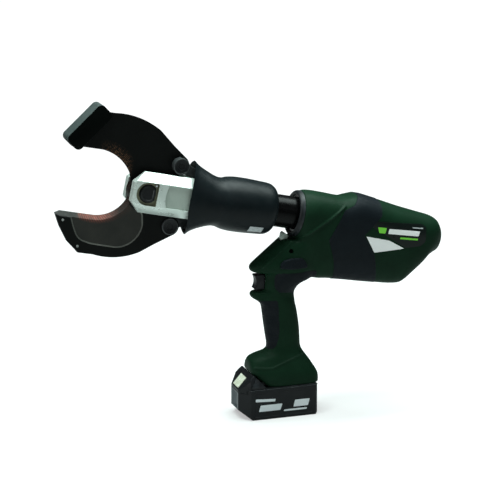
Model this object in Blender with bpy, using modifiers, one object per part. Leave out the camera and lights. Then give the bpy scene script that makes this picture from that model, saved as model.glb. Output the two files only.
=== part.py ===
"""Battery-hydraulic rescue and cable cutter, metres, +Z up, jaws towards -X.

The origin is the centre of the battery's flat underside.
The barrel, neck, cylinder and cutting head share one tilted axis; the head frame has its origin on
the blade pivot, u forward along that axis, n towards -Y (the left side of the tool) and w upward.
"""
import bmesh
import bpy
from math import atan2, cos, hypot, pi, radians, sin, sqrt
from mathutils import Matrix, Vector

MM = 0.001
GAP = 0.3                      # clearance between pieces that touch

# ---- driving dimensions, millimetres and degrees ----
TILT = 12.0                    # barrel axis, nose up
PIVOT_X, PIVOT_Z = -217.6, 380.0
BLADE_T = 8.4                 # thickness of each blade and link layer
LAYER = 0.25                   # half of the gap between the two layers
CLOSE = 42.0                   # turn of each blade from open to shut
ARM = 48.0                     # link pin offset from the pivot, along u and along w
CROSS_W = 22.0                 # crosshead pin height
LINK_L = 75.0
LINK_EYE = 10.4                # rear eye of the link
CROSS_PIN_R = 4.0
CROSS_HOLE_R = 7.3             # rear eye bore, larger than its pin
SLOT_Y = 10.9                  # half of the slot between the yoke cheeks
YOKE_Y, YOKE_W = 27.0, 32.5
YOKE_CHAMFER = 14.0
BOLT_R = 12.0
CYL_R, BORE_R = 34.8, 27.0
SLOT_END, CYL_END = -137.5, -206.0
ROD_R = 10.3
NECK_R, SPIGOT_R = 26.0, 19.0
NECK_END, SPIGOT_END = -262.0, -300.0
WALL = 2.6                     # moulded housing wall
BATT_X0, BATT_X1 = -57.5, 57.5
BATT_Y = 37.5
BATT_H = 50.0

CROSS_U = -ARM - sqrt(LINK_L ** 2 - (ARM - CROSS_W) ** 2)
NEAR0, NEAR1 = LAYER, LAYER + BLADE_T
T = radians(TILT)
HEAD = Matrix((
    (-cos(T), 0.0, sin(T), PIVOT_X * MM),
    (0.0, -1.0, 0.0, 0.0),
    (sin(T), 0.0, cos(T), PIVOT_Z * MM),
    (0.0, 0.0, 0.0, 1.0),
))
TOOL = Matrix.Identity(4)

for old in list(bpy.data.objects):
    bpy.data.objects.remove(old, do_unlink=True)
ASSEMBLY = bpy.data.collections.new("rescue_cutter")
bpy.context.scene.collection.children.link(ASSEMBLY)


# ---- modelling helpers ----
def add(name, mesh):
    obj = bpy.data.objects.new(name, mesh)
    ASSEMBLY.objects.link(obj)
    return obj


def tidy(obj):
    bm = bmesh.new()
    bm.from_mesh(obj.data)
    bmesh.ops.remove_doubles(bm, verts=bm.verts, dist=5e-7)
    bmesh.ops.recalc_face_normals(bm, faces=bm.faces)
    bm.to_mesh(obj.data)
    bm.free()
    return obj


def bake(obj):
    bpy.context.view_layer.update()
    deps = bpy.context.evaluated_depsgraph_get()
    mesh = bpy.data.meshes.new_from_object(obj.evaluated_get(deps))
    name = obj.name
    bpy.data.objects.remove(obj, do_unlink=True)
    return tidy(add(name, mesh))


def combine(obj, tool, operation):
    mod = obj.modifiers.new("Combine", "BOOLEAN")
    mod.solver = "EXACT"
    mod.operation = operation
    mod.object = tool
    done = bake(obj)
    bpy.data.objects.remove(tool, do_unlink=True)
    return done


def cut(obj, *tools):
    for tool in tools:
        obj = combine(obj, tool, "DIFFERENCE")
    return obj


def join(obj, *tools):
    for tool in tools:
        obj = combine(obj, tool, "UNION")
    return obj


def keep(obj, tool):
    return combine(obj, tool, "INTERSECT")


def copy_of(obj, name):
    return add(name, obj.data.copy())


def rounded(obj, width, segments=2, angle=40.0):
    mod = obj.modifiers.new("Round", "BEVEL")
    mod.width = width * MM
    mod.segments = segments
    mod.limit_method = "ANGLE"
    mod.angle_limit = radians(angle)
    mod.harden_normals = False
    return bake(obj)


def moved(obj, matrix):
    obj.data.transform(matrix)
    return obj


def block(name, x0, x1, y0, y1, z0, z1):
    bm = bmesh.new()
    bmesh.ops.create_cube(bm, size=1.0)
    size = Matrix.Diagonal((x1 - x0, y1 - y0, z1 - z0, 1.0 / MM)) * MM
    centre = Vector((x0 + x1, y0 + y1, z0 + z1)) * (0.5 * MM)
    bmesh.ops.transform(bm, matrix=Matrix.Translation(centre) @ size, verts=bm.verts)
    mesh = bpy.data.meshes.new(name)
    bm.to_mesh(mesh)
    bm.free()
    return add(name, mesh)


def rod(name, start, end, radius, sides=24, radius_end=None):
    a = Vector(start) * MM
    b = Vector(end) * MM
    turn = (b - a).to_track_quat("Z", "Y").to_matrix().to_4x4()
    bm = bmesh.new()
    bmesh.ops.create_cone(
        bm, cap_ends=True, segments=sides, radius1=radius * MM,
        radius2=(radius if radius_end is None else radius_end) * MM, depth=(b - a).length,
        matrix=Matrix.Translation((a + b) / 2) @ turn)
    mesh = bpy.data.meshes.new(name)
    bm.to_mesh(mesh)
    bm.free()
    return add(name, mesh)


def plate(name, outline, y0, y1):
    """Outline in x and z, extruded from y0 to y1."""
    curve = bpy.data.curves.new(name, "CURVE")
    curve.dimensions = "2D"
    curve.fill_mode = "BOTH"
    curve.extrude = abs(y1 - y0) / 2 * MM
    spline = curve.splines.new("POLY")
    spline.points.add(len(outline) - 1)
    for point, (a, b) in zip(spline.points, outline):
        point.co = (a * MM, b * MM, 0.0, 1.0)
    spline.use_cyclic_u = True
    obj = bake(add(name, curve))
    turn = Matrix.Rotation(pi / 2, 4, "X")
    return moved(obj, Matrix.Translation((0, (y0 + y1) / 2 * MM, 0)) @ turn)


AXES = {
    "x": Matrix.Rotation(pi / 2, 4, "Y"),
    "y": Matrix.Rotation(-pi / 2, 4, "X"),
    "z": Matrix.Identity(4),
}


def turned(name, profile, axis="x", steps=32, centre=(0.0, 0.0, 0.0)):
    """Profile of (radius, along axis) pairs turned about the axis."""
    count = len(profile)
    edges = [(i, i + 1) for i in range(count - 1)]
    if profile[0][0] > 0:
        edges.append((count - 1, 0))
    mesh = bpy.data.meshes.new(name)
    mesh.from_pydata([(r * MM, 0.0, z * MM) for r, z in profile], edges, [])
    obj = add(name, mesh)
    mod = obj.modifiers.new("Turn", "SCREW")
    mod.angle = 2 * pi
    mod.steps = steps
    mod.render_steps = steps
    mod.use_merge_vertices = True
    mod.merge_threshold = 0.00001
    obj = bake(obj)
    return moved(obj, Matrix.Translation(Vector(centre) * MM) @ AXES[axis])


def tube(name, outer, inner, start, end, axis="x", steps=32, centre=(0.0, 0.0, 0.0)):
    return turned(name, [(inner, start), (inner, end), (outer, end), (outer, start)], axis, steps, centre)


def loft(name, rings):
    """Closed skin through rings of equal point count, its curved faces split into flat triangles."""
    count = len(rings[0])
    verts = [Vector(p) * MM for ring in rings for p in ring]
    faces = [tuple(range(count)), tuple(range(len(verts) - count, len(verts)))]
    for r in range(len(rings) - 1):
        for i in range(count):
            j = (i + 1) % count
            faces.append((r * count + i, r * count + j, (r + 1) * count + j, (r + 1) * count + i))
    mesh = bpy.data.meshes.new(name)
    mesh.from_pydata(verts, [], faces)
    bm = bmesh.new()
    bm.from_mesh(mesh)
    bmesh.ops.triangulate(bm, faces=[f for f in bm.faces if len(f.verts) == 4])
    bm.to_mesh(mesh)
    bm.free()
    return tidy(add(name, mesh))


def coil(name, start, end, radius, wire, turns, per_turn=8):
    """Helical spring from start to end along x, y or z."""
    a = Vector(start)
    b = Vector(end)
    turn = (b - a).to_track_quat("Z", "Y").to_matrix()
    count = int(turns * per_turn)
    curve = bpy.data.curves.new(name, "CURVE")
    curve.dimensions = "3D"
    curve.bevel_depth = wire / 2 * MM
    curve.bevel_resolution = 1
    curve.use_fill_caps = True
    spline = curve.splines.new("POLY")
    spline.points.add(count)
    for i, point in enumerate(spline.points):
        angle = 2 * pi * i / per_turn
        along = (b - a).length * i / count
        p = a + turn @ Vector((radius * cos(angle), radius * sin(angle), along))
        point.co = (*(p * MM), 1.0)
    return bake(add(name, curve))


def arc(p0, pm, p1, count):
    """Points of the circle through three points, from p0 to p1, both ends included."""
    ax, ay = p0
    bx, by = pm
    cx, cy = p1
    d = 2 * (ax * (by - cy) + bx * (cy - ay) + cx * (ay - by))
    a2, b2, c2 = ax * ax + ay * ay, bx * bx + by * by, cx * cx + cy * cy
    ox = (a2 * (by - cy) + b2 * (cy - ay) + c2 * (ay - by)) / d
    oy = (a2 * (cx - bx) + b2 * (ax - cx) + c2 * (bx - ax)) / d
    start = atan2(ay - oy, ax - ox)
    mid = (atan2(by - oy, bx - ox) - start) % (2 * pi)
    sweep = (atan2(cy - oy, cx - ox) - start) % (2 * pi)
    if mid > sweep:
        sweep -= 2 * pi
    r = hypot(ax - ox, ay - oy)
    return [(ox + r * cos(start + sweep * i / count), oy + r * sin(start + sweep * i / count))
            for i in range(count + 1)]


def circle(cx, cy, r, start, end, count):
    return [(cx + r * cos(radians(start + (end - start) * i / count)),
             cy + r * sin(radians(start + (end - start) * i / count))) for i in range(count + 1)]


def round_box(x0, x1, z0, z1, r, count=4):
    return (circle(x1 - r, z0 + r, r, -90, 0, count) + circle(x1 - r, z1 - r, r, 0, 90, count)
            + circle(x0 + r, z1 - r, r, 90, 180, count) + circle(x0 + r, z0 + r, r, 180, 270, count))


def mirrored(points):
    return [(a, -b) for a, b in points]


def power(value, exponent):
    return (abs(value) ** exponent) * (1 if value >= 0 else -1)


def finish(obj, name, colour, frame=TOOL, origin=(0.0, 0.0, 0.0), metal=0.0, rough=0.5, angle=35.0):
    """Name the piece, put its origin on the given point of its frame and shade it."""
    obj = tidy(obj)
    obj.data.transform(frame)
    point = frame @ (Vector(origin) * MM)
    obj.data.transform(Matrix.Translation(-point))
    obj.location = point
    obj.name = name
    obj.data.name = name
    obj.data.polygons.foreach_set("use_smooth", [True] * len(obj.data.polygons))
    obj.data.set_sharp_from_angle(angle=radians(angle))
    material = bpy.data.materials.new(name + "_material")
    material.use_nodes = True
    shader = material.node_tree.nodes["Principled BSDF"]
    shader.inputs["Base Color"].default_value = (*colour, 1.0)
    shader.inputs["Metallic"].default_value = metal
    shader.inputs["Roughness"].default_value = rough
    obj.data.materials.clear()
    obj.data.materials.append(material)
    return obj


BLACK = (0.012, 0.013, 0.014)
STEEL = (0.45, 0.46, 0.47)
DARK_STEEL = (0.03, 0.032, 0.03)
ALUMINIUM = (0.75, 0.78, 0.76)
GREEN = (0.018, 0.045, 0.026)
NAVY = (0.016, 0.022, 0.03)
RUBBER = (0.022, 0.033, 0.04)


# ---- blades ----
EYE = (-ARM, ARM)
HUB_R = 27.5
UPPER_EDGE = arc((29.0, 24.5), (45.5, 42.0), (78.0, 54.0), 9) + [(97.0, 53.8)]
UPPER_REST = (
    [(121.0, 53.5), (134.5, 64.0), (97.5, 116.8), (86.0, 111.4)]
    + arc((66.0, 111.8), (22.0, 109.0), (-8.0, 97.0), 7)
    + [(-34.5, 76.2)]
    + circle(*EYE, 15.5, 118, 262, 8)
    + circle(0.0, 0.0, HUB_R, 205, 385, 12)
)
LOWER_EDGE = arc((28.5, -19.0), (44.0, -37.5), (76.0, -48.0), 9) + [(100.0, -48.2), (128.0, -48.1)]
LOWER_REST = (
    [(135.5, -52.5), (125.1, -71.6), (109.0, -93.3)]
    + circle(88.0, -104.0, 4.5, -35, -90, 3)
    + arc((64.6, -108.3), (25.0, -107.5), (-8.4, -95.0), 7)
    + [(-28.6, -80.0)]
    + circle(-ARM, -ARM, 15.5, 242, 98, 8)
    + circle(0.0, 0.0, HUB_R, 155, -25, 12)
)


def blade(name, edge, rest, side, grind):
    """Flat blade whose cutting edge lies on the shear face, ground back over the grind width."""
    inner = []
    for i, (a, b) in enumerate(edge):
        p = edge[max(i - 1, 0)]
        q = edge[min(i + 1, len(edge) - 1)]
        tangent = Vector((q[0] - p[0], q[1] - p[1])).normalized()
        normal = Vector((-tangent.y, tangent.x)) * (1 if edge[-1][1] > 0 else -1)
        inner.append((a + normal.x * grind, b + normal.y * grind))
    shear = [(a, side * NEAR0, b) for a, b in edge + rest]
    flank = [(a, side * (NEAR0 + 0.8), b) for a, b in edge + rest]
    outer = [(a, side * NEAR1, b) for a, b in inner + rest]
    body = loft(name, [shear, flank, outer])
    hub = rod("cut", (0, -60, 0), (0, 60, 0), BOLT_R + GAP, 32)
    eye = rod("cut", (-ARM, -60, ARM * (1 if side < 0 else -1)),
              (-ARM, 60, ARM * (1 if side < 0 else -1)), 7.0 + GAP, 24)
    return cut(body, hub, eye)


lower = blade("lower", LOWER_EDGE, LOWER_REST, 1, 7.0)
relief_line = (
    [(112.0, -53.0), (104.1, -70.2), (96.5, -83.5), (88.0, -89.5), (72.0, -92.8)]
    + arc((33.0, -93.3), (4.5, -79.0), (-5.4, -52.0), 7)
    + [(-1.5, -33.0), (16.0, -26.0), (30.0, -12.0), (60.0, -20.0), (112.0, -40.0)]
)
lower = cut(lower, plate("cut", relief_line, NEAR1 - 1.1, NEAR1 + 3))
tip_holes = [(121.8, -61.0), (91.5, -98.4)]
for hole in tip_holes:
    lower = cut(lower, rod("cut", (hole[0], NEAR1 - 4, hole[1]), (hole[0], NEAR1 + 3, hole[1]), 1.5, 12))
finish(lower, "lower_blade", DARK_STEEL, HEAD, metal=0.9, rough=0.4)
for i, hole in enumerate(tip_holes):
    rivet = turned("rivet", [(0, NEAR1 - 3.6), (1.2, NEAR1 - 3.6), (1.2, NEAR1 + GAP), (2.0, NEAR1 + GAP),
                             (1.5, NEAR1 + 0.9), (0, NEAR1 + 1.1)], "y", 12, (hole[0], 0, hole[1]))
    finish(rivet, "lower_blade_rivet_%d" % (i + 1), STEEL, HEAD, metal=1.0, rough=0.3)

upper = blade("upper", UPPER_EDGE, UPPER_REST, -1, 7.0)

# The tip guide is a channel across the end of the upper blade; its free half takes the lower tip.
GUIDE_N, GUIDE_W = 124.3, 29.0
GUIDE_T0, GUIDE_T1 = -31.0, 45.6
GUIDE_Y = 18.0
guide_turn = Matrix.Rotation(-radians(35.6), 4, "Y")
guide = plate("guide", round_box(GUIDE_N, GUIDE_N + GUIDE_W, GUIDE_T0, GUIDE_T1, 8.0), -GUIDE_Y, GUIDE_Y)
guide = rounded(guide, 1.6, 2, 50)
guide = cut(guide, block("cut", GUIDE_N - 10, 148.3, -NEAR1 - 0.9, NEAR1 + 1.7, GUIDE_T0 - 9, GUIDE_T1 + 9))
guide_pins = [(133.5, -12.0), (133.5, 26.0)]
for n, t in guide_pins:
    guide = cut(guide, rod("cut", (n, -60, t), (n, 2, t), 3.0 + GAP, 16))
    upper = cut(upper, moved(rod("cut", (n, -60, t), (n, 2, t), 3.0 + GAP, 16), guide_turn))
finish(moved(guide, guide_turn), "blade_tip_guide", BLACK, HEAD, rough=0.45)
for i, (n, t) in enumerate(guide_pins):
    pin = turned("pin", [(0, -GUIDE_Y - 1.2), (2.6, -GUIDE_Y - 1.2), (3.0, -GUIDE_Y - 0.8), (3.0, -0.9), (0, -0.9)],
                 "y", 16, (n, 0, t))
    finish(moved(pin, guide_turn), "tip_guide_pin_%d" % (i + 1), STEEL, HEAD, metal=1.0, rough=0.35)
finish(upper, "upper_blade", DARK_STEEL, HEAD, metal=0.9, rough=0.4)

# ---- links, link pins and crosshead ----
link_angle = atan2(ARM - CROSS_W, -ARM - CROSS_U)


def link(name, sign):
    """Link in the layer that its blade leaves free; sign +1 for the upper one."""
    outline = circle(0.0, 0.0, 13.0, -62, 62, 8) + circle(-LINK_L, 0.0, LINK_EYE, 118, 242, 8)
    waist = [(-18.0, 7.6), (-LINK_L + 16.0, 7.6)]
    outline = outline[:9] + waist + outline[9:] + mirrored(waist[::-1])
    body = plate(name, outline, sign * NEAR0, sign * NEAR1)
    body = cut(body, rod("cut", (0, -60, 0), (0, 60, 0), 7.0 + GAP, 24),
               rod("cut", (-LINK_L, -60, 0), (-LINK_L, 60, 0), CROSS_HOLE_R, 24))
    turn = Matrix.Rotation(-sign * link_angle, 4, "Y")
    shift = Matrix.Translation((-ARM * MM, 0, sign * ARM * MM))
    finish(moved(body, shift @ turn), name, DARK_STEEL, HEAD, (-ARM, 0, sign * ARM), metal=0.9, rough=0.4)


for name, sign in (("upper", 1), ("lower", -1)):
    link(name + "_link", sign)
    pin = turned("pin", [(0, -NEAR1 - 1.3), (6.2, -NEAR1 - 1.3), (7.0, -NEAR1 - 0.6), (7.0, NEAR1 + GAP),
                         (13.0, NEAR1 + GAP), (13.0, NEAR1 + 3.4), (12.0, NEAR1 + 4.6), (10.6, NEAR1 + 4.6),
                         (10.2, NEAR1 + 4.0), (6.0, NEAR1 + 4.0), (5.4, NEAR1 + 2.8), (0, NEAR1 + 2.8)],
                 "y", 24, (-ARM, 0, sign * ARM))
    finish(pin, name + "_link_pin", BLACK, HEAD, (-ARM, 0, sign * ARM), metal=0.8, rough=0.35)
    stub = rod("stub", (CROSS_U, -NEAR1 - 0.6, sign * CROSS_W), (CROSS_U, NEAR1 + 0.6, sign * CROSS_W),
               CROSS_PIN_R, 20)
    finish(stub, name + "_crosshead_pin", STEEL, HEAD, (CROSS_U, 0, sign * CROSS_W), metal=1.0, rough=0.3)

cross = block("cross", CROSS_U - 17.8, CROSS_U - 13.9, -SLOT_Y + 0.8, SLOT_Y - 0.8, -32.0, 32.0)
for sign in (1, -1):
    lug = plate("lug", round_box(CROSS_U - 16.5, CROSS_U + 8.5, 12.5, 32.0, 6.0)
                if sign > 0 else round_box(CROSS_U - 16.5, CROSS_U + 8.5, -32.0, -12.5, 6.0),
                -sign * (SLOT_Y - 0.8), -sign * NEAR0)
    cross = join(cross, lug)
    cross = cut(cross, rod("cut", (CROSS_U, -60, sign * CROSS_W), (CROSS_U, 60, sign * CROSS_W),
                           CROSS_PIN_R + 0.15, 20))
cross = cut(cross, rod("cut", (CROSS_U - 30, 0, 0), (CROSS_U, 0, 0), 6.3, 20))
finish(cross, "crosshead", DARK_STEEL, HEAD, (CROSS_U, 0, 0), metal=0.9, rough=0.45)

# ---- yoke with cylinder ----
yoke = plate("yoke", [(25.5, -15.5), (25.5, 15.5), (8.5, YOKE_W), (-132.0, YOKE_W), (-132.0, -YOKE_W),
                      (8.5, -YOKE_W)], -YOKE_Y, YOKE_Y)
octagon = []
for a, b in ((YOKE_Y, YOKE_W - YOKE_CHAMFER), (YOKE_Y - YOKE_CHAMFER, YOKE_W)):
    octagon += [(a, b)]
octagon = octagon + [(-a, b) for a, b in octagon[::-1]]
octagon = octagon + [(-a, -b) for a, b in octagon]
bar = loft("bar", [[(u, n, w) for n, w in octagon] for u in (-140.0, 60.0)])
yoke = keep(yoke, bar)
yoke = rounded(yoke, 0.7, 1, 25)
yoke = join(yoke, turned("cyl", [(0, -126), (CYL_R - 3, -126), (CYL_R, -129), (CYL_R, CYL_END), (0, CYL_END)], "x", 36))
yoke = cut(
    yoke,
    block("cut", SLOT_END, 60, -SLOT_Y, SLOT_Y, -60, 60),
    rod("cut", (SLOT_END + 3, 0, 0), (CYL_END - 10, 0, 0), BORE_R, 32),
    rod("cut", (0, -60, 0), (0, 60, 0), BOLT_R + GAP, 32),
)
d_recess = [(-14.2, -18.0), (3.0, -18.0)] + circle(2.0, 0.0, 18.0, -70, 70, 8) + [(3.0, 18.0), (-14.2, 18.0)]
rear_recess = arc((-31.0, -18.0), (-27.0, 0.0), (-31.0, 18.0), 5) + [(-72.0, 18.0), (-72.0, -18.0)]
yoke = cut(
    yoke,
    plate("cut", d_recess, YOKE_Y - 5.5, YOKE_Y + 5),
    rod("cut", (0, -YOKE_Y + 5.5, 0), (0, -YOKE_Y - 5, 0), 17.4, 28),
    plate("cut", rear_recess, YOKE_Y - 2.2, YOKE_Y + 5),
    plate("cut", rear_recess, -YOKE_Y - 5, -YOKE_Y + 2.2),
)
yoke = cut(yoke, rod("cut", (-10.9, 15, 14.8), (-10.9, 60, 14.8), 1.9, 12))
finish(yoke, "yoke_cylinder", ALUMINIUM, HEAD, metal=1.0, rough=0.3, angle=30)

head = circle(0.0, 0.0, 14.6, 142, -142, 20)
bolt = plate("bolt", head, YOKE_Y - 5.2, YOKE_Y - 1.0)
bolt = rounded(bolt, 0.6, 1, 50)
bolt = join(bolt, rod("shank", (0, YOKE_Y - 3, 0), (0, -YOKE_Y + 0.2, 0), BOLT_R - 0.2, 28))
finish(bolt, "pivot_bolt", BLACK, HEAD, metal=0.8, rough=0.4)
nut = turned("nut", [(0, -YOKE_Y + 5.2), (16.0, -YOKE_Y + 5.2), (16.0, -YOKE_Y - 0.6), (0, -YOKE_Y - 0.6)], "y", 6)
nut = cut(nut, rod("cut", (0, -60, 0), (0, 0, 0), BOLT_R + GAP, 24))
finish(nut, "pivot_nut", STEEL, HEAD, metal=1.0, rough=0.35)
lock = turned("lock", [(0, 17.0), (1.6, 17.0), (1.6, YOKE_Y - 5.2), (2.6, YOKE_Y - 5.2), (2.6, YOKE_Y - 3.6),
                       (2.0, YOKE_Y - 3.1), (0, YOKE_Y - 3.1)], "y", 12, (-10.9, 0, 14.8))
finish(lock, "pivot_lock_screw", STEEL, HEAD, metal=1.0, rough=0.25)

# ---- ram, gland, return spring, neck ----
PISTON_BACK = CYL_END + 0.6
ram = turned("ram", [
    (7.1, CROSS_U - 22.0), (7.1, PISTON_BACK), (BORE_R - GAP, PISTON_BACK), (BORE_R - GAP, PISTON_BACK + 1.6),
    (BORE_R - 3.2, PISTON_BACK + 1.6), (BORE_R - 3.2, PISTON_BACK + 4.8), (BORE_R - GAP, PISTON_BACK + 4.8),
    (BORE_R - GAP, PISTON_BACK + 6.4), (ROD_R, PISTON_BACK + 6.4), (ROD_R, CROSS_U - 18.1), (6.0, CROSS_U - 18.1),
    (6.0, CROSS_U - 12.0), (3.0, CROSS_U - 12.0), (3.0, CROSS_U - 22.0)], "x", 28)
finish(ram, "piston_rod", STEEL, HEAD, (CROSS_U, 0, 0), metal=1.0, rough=0.2)
seal = tube("seal", BORE_R - 0.15, BORE_R - 2.9, PISTON_BACK + 1.9, PISTON_BACK + 4.5, "x", 28)
finish(seal, "piston_seal", BLACK, HEAD, (CROSS_U, 0, 0), rough=0.6)
gland = tube("gland", BORE_R - GAP, ROD_R + 0.2, SLOT_END - 4.9, SLOT_END - 0.2, "x", 28)
finish(gland, "rod_gland", (0.5, 0.38, 0.16), HEAD, metal=0.8, rough=0.4)
spring = coil("spring", (CYL_END + 1.5, 0, 0), (CROSS_U - 23.6, 0, 0), 5.6, 1.5, 10, 8)
finish(spring, "return_spring", STEEL, HEAD, metal=1.0, rough=0.3, angle=60)

neck = turned("neck", [
    (3.0, CYL_END - GAP), (CYL_R, CYL_END - GAP), (CYL_R, CYL_END - 3.0), (NECK_R, CYL_END - 3.0),
    (NECK_R, NECK_END), (SPIGOT_R, NECK_END), (SPIGOT_R, SPIGOT_END + 12), (SPIGOT_R - 2, SPIGOT_END + 12),
    (SPIGOT_R - 2, SPIGOT_END + 9), (SPIGOT_R, SPIGOT_END + 9), (SPIGOT_R, SPIGOT_END), (3.0, SPIGOT_END)], "x", 24)
finish(neck, "neck_tube", BLACK, HEAD, metal=0.7, rough=0.3)
neck_seal = tube("seal", SPIGOT_R + 0.35, SPIGOT_R - 1.7, SPIGOT_END + 9.3, SPIGOT_END + 11.7, "x", 24)
finish(neck_seal, "neck_seal", BLACK, HEAD, rough=0.6)

# ---- rubber boot ----
BOOT = (  # u of the sides, half height, half width, reach of the lips, extra drop back of the lower lip
    (-66.0, 58.6, 31.2, -5.5, 5.0), (-72.0, 54.2, 31.8, -5.0, 3.5), (-79.0, 50.8, 32.8, -4.0, 2.0),
    (-88.0, 47.4, 34.0, -2.0, 0.8), (-95.0, 45.3, 34.9, 0.0, 0.0), (-104.0, 41.6, 36.4, 0.0, 0.0),
    (-113.0, 38.9, 38.0, 0.0, 0.0), (-121.0, 38.6, 38.6, 0.0, 0.0), (-130.0, 41.2, 41.2, 0.0, 0.0),
    (-143.0, 42.9, 42.9, 0.0, 0.0), (-162.0, 43.1, 43.1, 0.0, 0.0), (-184.0, 42.0, 42.0, 0.0, 0.0),
    (-199.0, 41.0, 41.0, 0.0, 0.0), (-206.0, 38.6, 38.6, 0.0, 0.0), (-210.8, 34.4, 34.4, 0.0, 0.0),
    (-213.6, 28.5, 28.5, 0.0, 0.0))


def boot_ring(u, high, wide, lip, drop, count=28):
    ring = []
    for i in range(count):
        a = 2 * pi * i / count
        reach = lip * sin(a) ** 2 - drop * min(sin(a), 0.0) ** 2
        ring.append((u + reach, wide * cos(a), high * sin(a)))
    return ring


boot = loft("boot", [boot_ring(*station) for station in BOOT])
inside = [(u, high - 2.1, wide - 2.1, lip, drop) for u, high, wide, lip, drop in BOOT[:14]]
inside[0] = (BOOT[0][0] + 2.0, BOOT[0][1] - 1.2, BOOT[0][2] - 1.9, BOOT[0][3], BOOT[0][4])
inside += [(-209.6, 35.2, 35.2, 0.0, 0.0)]
boot = cut(boot, loft("hollow", [boot_ring(*station) for station in inside]),
           rod("cut", (-200, 0, 0), (-230, 0, 0), NECK_R + GAP, 32))
finish(boot, "rubber_boot", RUBBER, HEAD, rough=0.55, angle=50)

# ---- housing ----
BARREL = (  # u, top, bottom, half width, fullness
    (-256.0, 37.0, -37.0, 37.0, 2.0), (-258.5, 38.4, -40.0, 38.4, 2.0), (-266.0, 39.4, -60.0, 39.0, 2.2),
    (-278.0, 39.7, -86.0, 39.2, 2.4), (-301.0, 38.9, -99.0, 39.3, 2.5), (-322.0, 38.2, -97.4, 39.4, 2.5),
    (-333.0, 42.0, -96.5, 40.2, 2.5), (-345.0, 45.8, -95.6, 41.0, 2.5), (-357.0, 46.2, -95.0, 41.2, 2.5),
    (-380.0, 43.1, -94.2, 41.0, 2.5), (-404.0, 39.4, -93.0, 40.4, 2.5), (-427.0, 35.8, -92.0, 39.4, 2.5),
    (-446.5, 33.4, -89.5, 38.2, 2.5), (-455.6, 32.3, -84.8, 37.6, 2.5), (-467.5, 31.0, -70.1, 36.6, 2.5),
    (-481.1, 29.4, -51.7, 34.6, 2.5), (-489.0, 27.6, -38.0, 32.0, 2.5), (-497.0, 23.4, -31.5, 27.5, 2.4),
    (-505.0, 13.5, -26.0, 20.0, 2.2), (-509.0, 3.0, -16.0, 11.0, 2.0))
HANDLE = (  # z, front x, rear x, half width, fullness
    (52.0, -28.0, 63.4, 36.0, 5.0), (58.0, -34.0, 63.9, 36.0, 5.0), (66.0, -42.5, 63.2, 35.6, 5.0),
    (74.0, -50.0, 59.6, 34.4, 4.5), (81.0, -50.6, 55.4, 32.0, 4.0), (88.0, -49.6, 51.2, 28.8, 3.6),
    (93.5, -47.0, 47.4, 26.0, 3.2), (98.0, -38.0, 44.2, 23.4, 3.0), (102.0, -25.0, 41.6, 21.4, 2.8),
    (107.0, -18.6, 39.2, 20.0, 2.6), (114.0, -17.0, 37.6, 19.0, 2.6), (132.0, -19.8, 36.8, 18.6, 2.6),
    (152.0, -22.8, 34.8, 18.6, 2.6), (172.0, -25.4, 31.4, 18.6, 2.6), (182.0, -27.6, 28.9, 18.6, 2.6),
    (188.0, -33.5, 28.2, 18.6, 2.6), (194.0, -42.5, 27.6, 18.4, 2.5), (199.0, -46.0, 27.5, 18.4, 2.5),
    (203.5, -45.2, 29.0, 19.0, 2.5), (206.5, -27.0, 30.4, 20.0, 2.5), (212.0, -25.6, 34.5, 22.0, 2.4),
    (217.0, -25.2, 43.0, 23.5, 2.4), (221.0, -24.8, 54.0, 25.0, 2.3), (233.5, -24.6, 70.0, 27.0, 2.2),
    (236.5, -42.0, 80.0, 27.0, 2.2), (240.5, -47.0, 90.0, 28.5, 2.2), (246.0, -47.4, 96.0, 30.0, 2.2),
    (251.0, -43.0, 100.0, 31.0, 2.1), (262.0, -29.0, 104.0, 32.5, 2.1), (273.0, -15.0, 106.0, 33.6, 2.1),
    (283.0, -2.0, 108.0, 34.2, 2.1), (288.5, 4.0, 106.0, 32.0, 2.1))


def barrel_ring(station, inset, count=24):
    u, top, bottom, wide, full = station
    top, bottom, wide = top - inset, bottom + inset, wide - inset
    mid = top - min(wide, (top - bottom) / 2)
    ring = []
    for i in range(count):
        a = 2 * pi * (i + 0.5) / count
        rise = top - mid if sin(a) > 0 else mid - bottom
        ring.append((u, wide * power(cos(a), 2 / full), mid + rise * power(sin(a), 2 / full)))
    return ring


def handle_ring(z, front, rear, wide, full, count=18):
    mid, half = (front + rear) / 2, (rear - front) / 2
    ring = []
    for i in range(count):
        a = 2 * pi * (i + 0.5) / count
        ring.append((mid + half * power(cos(a), 2 / full), wide * power(sin(a), 2 / full), z))
    return ring


def barrel_body(name, inset):
    return moved(loft(name, [barrel_ring(s, inset) for s in BARREL]), HEAD)


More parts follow.
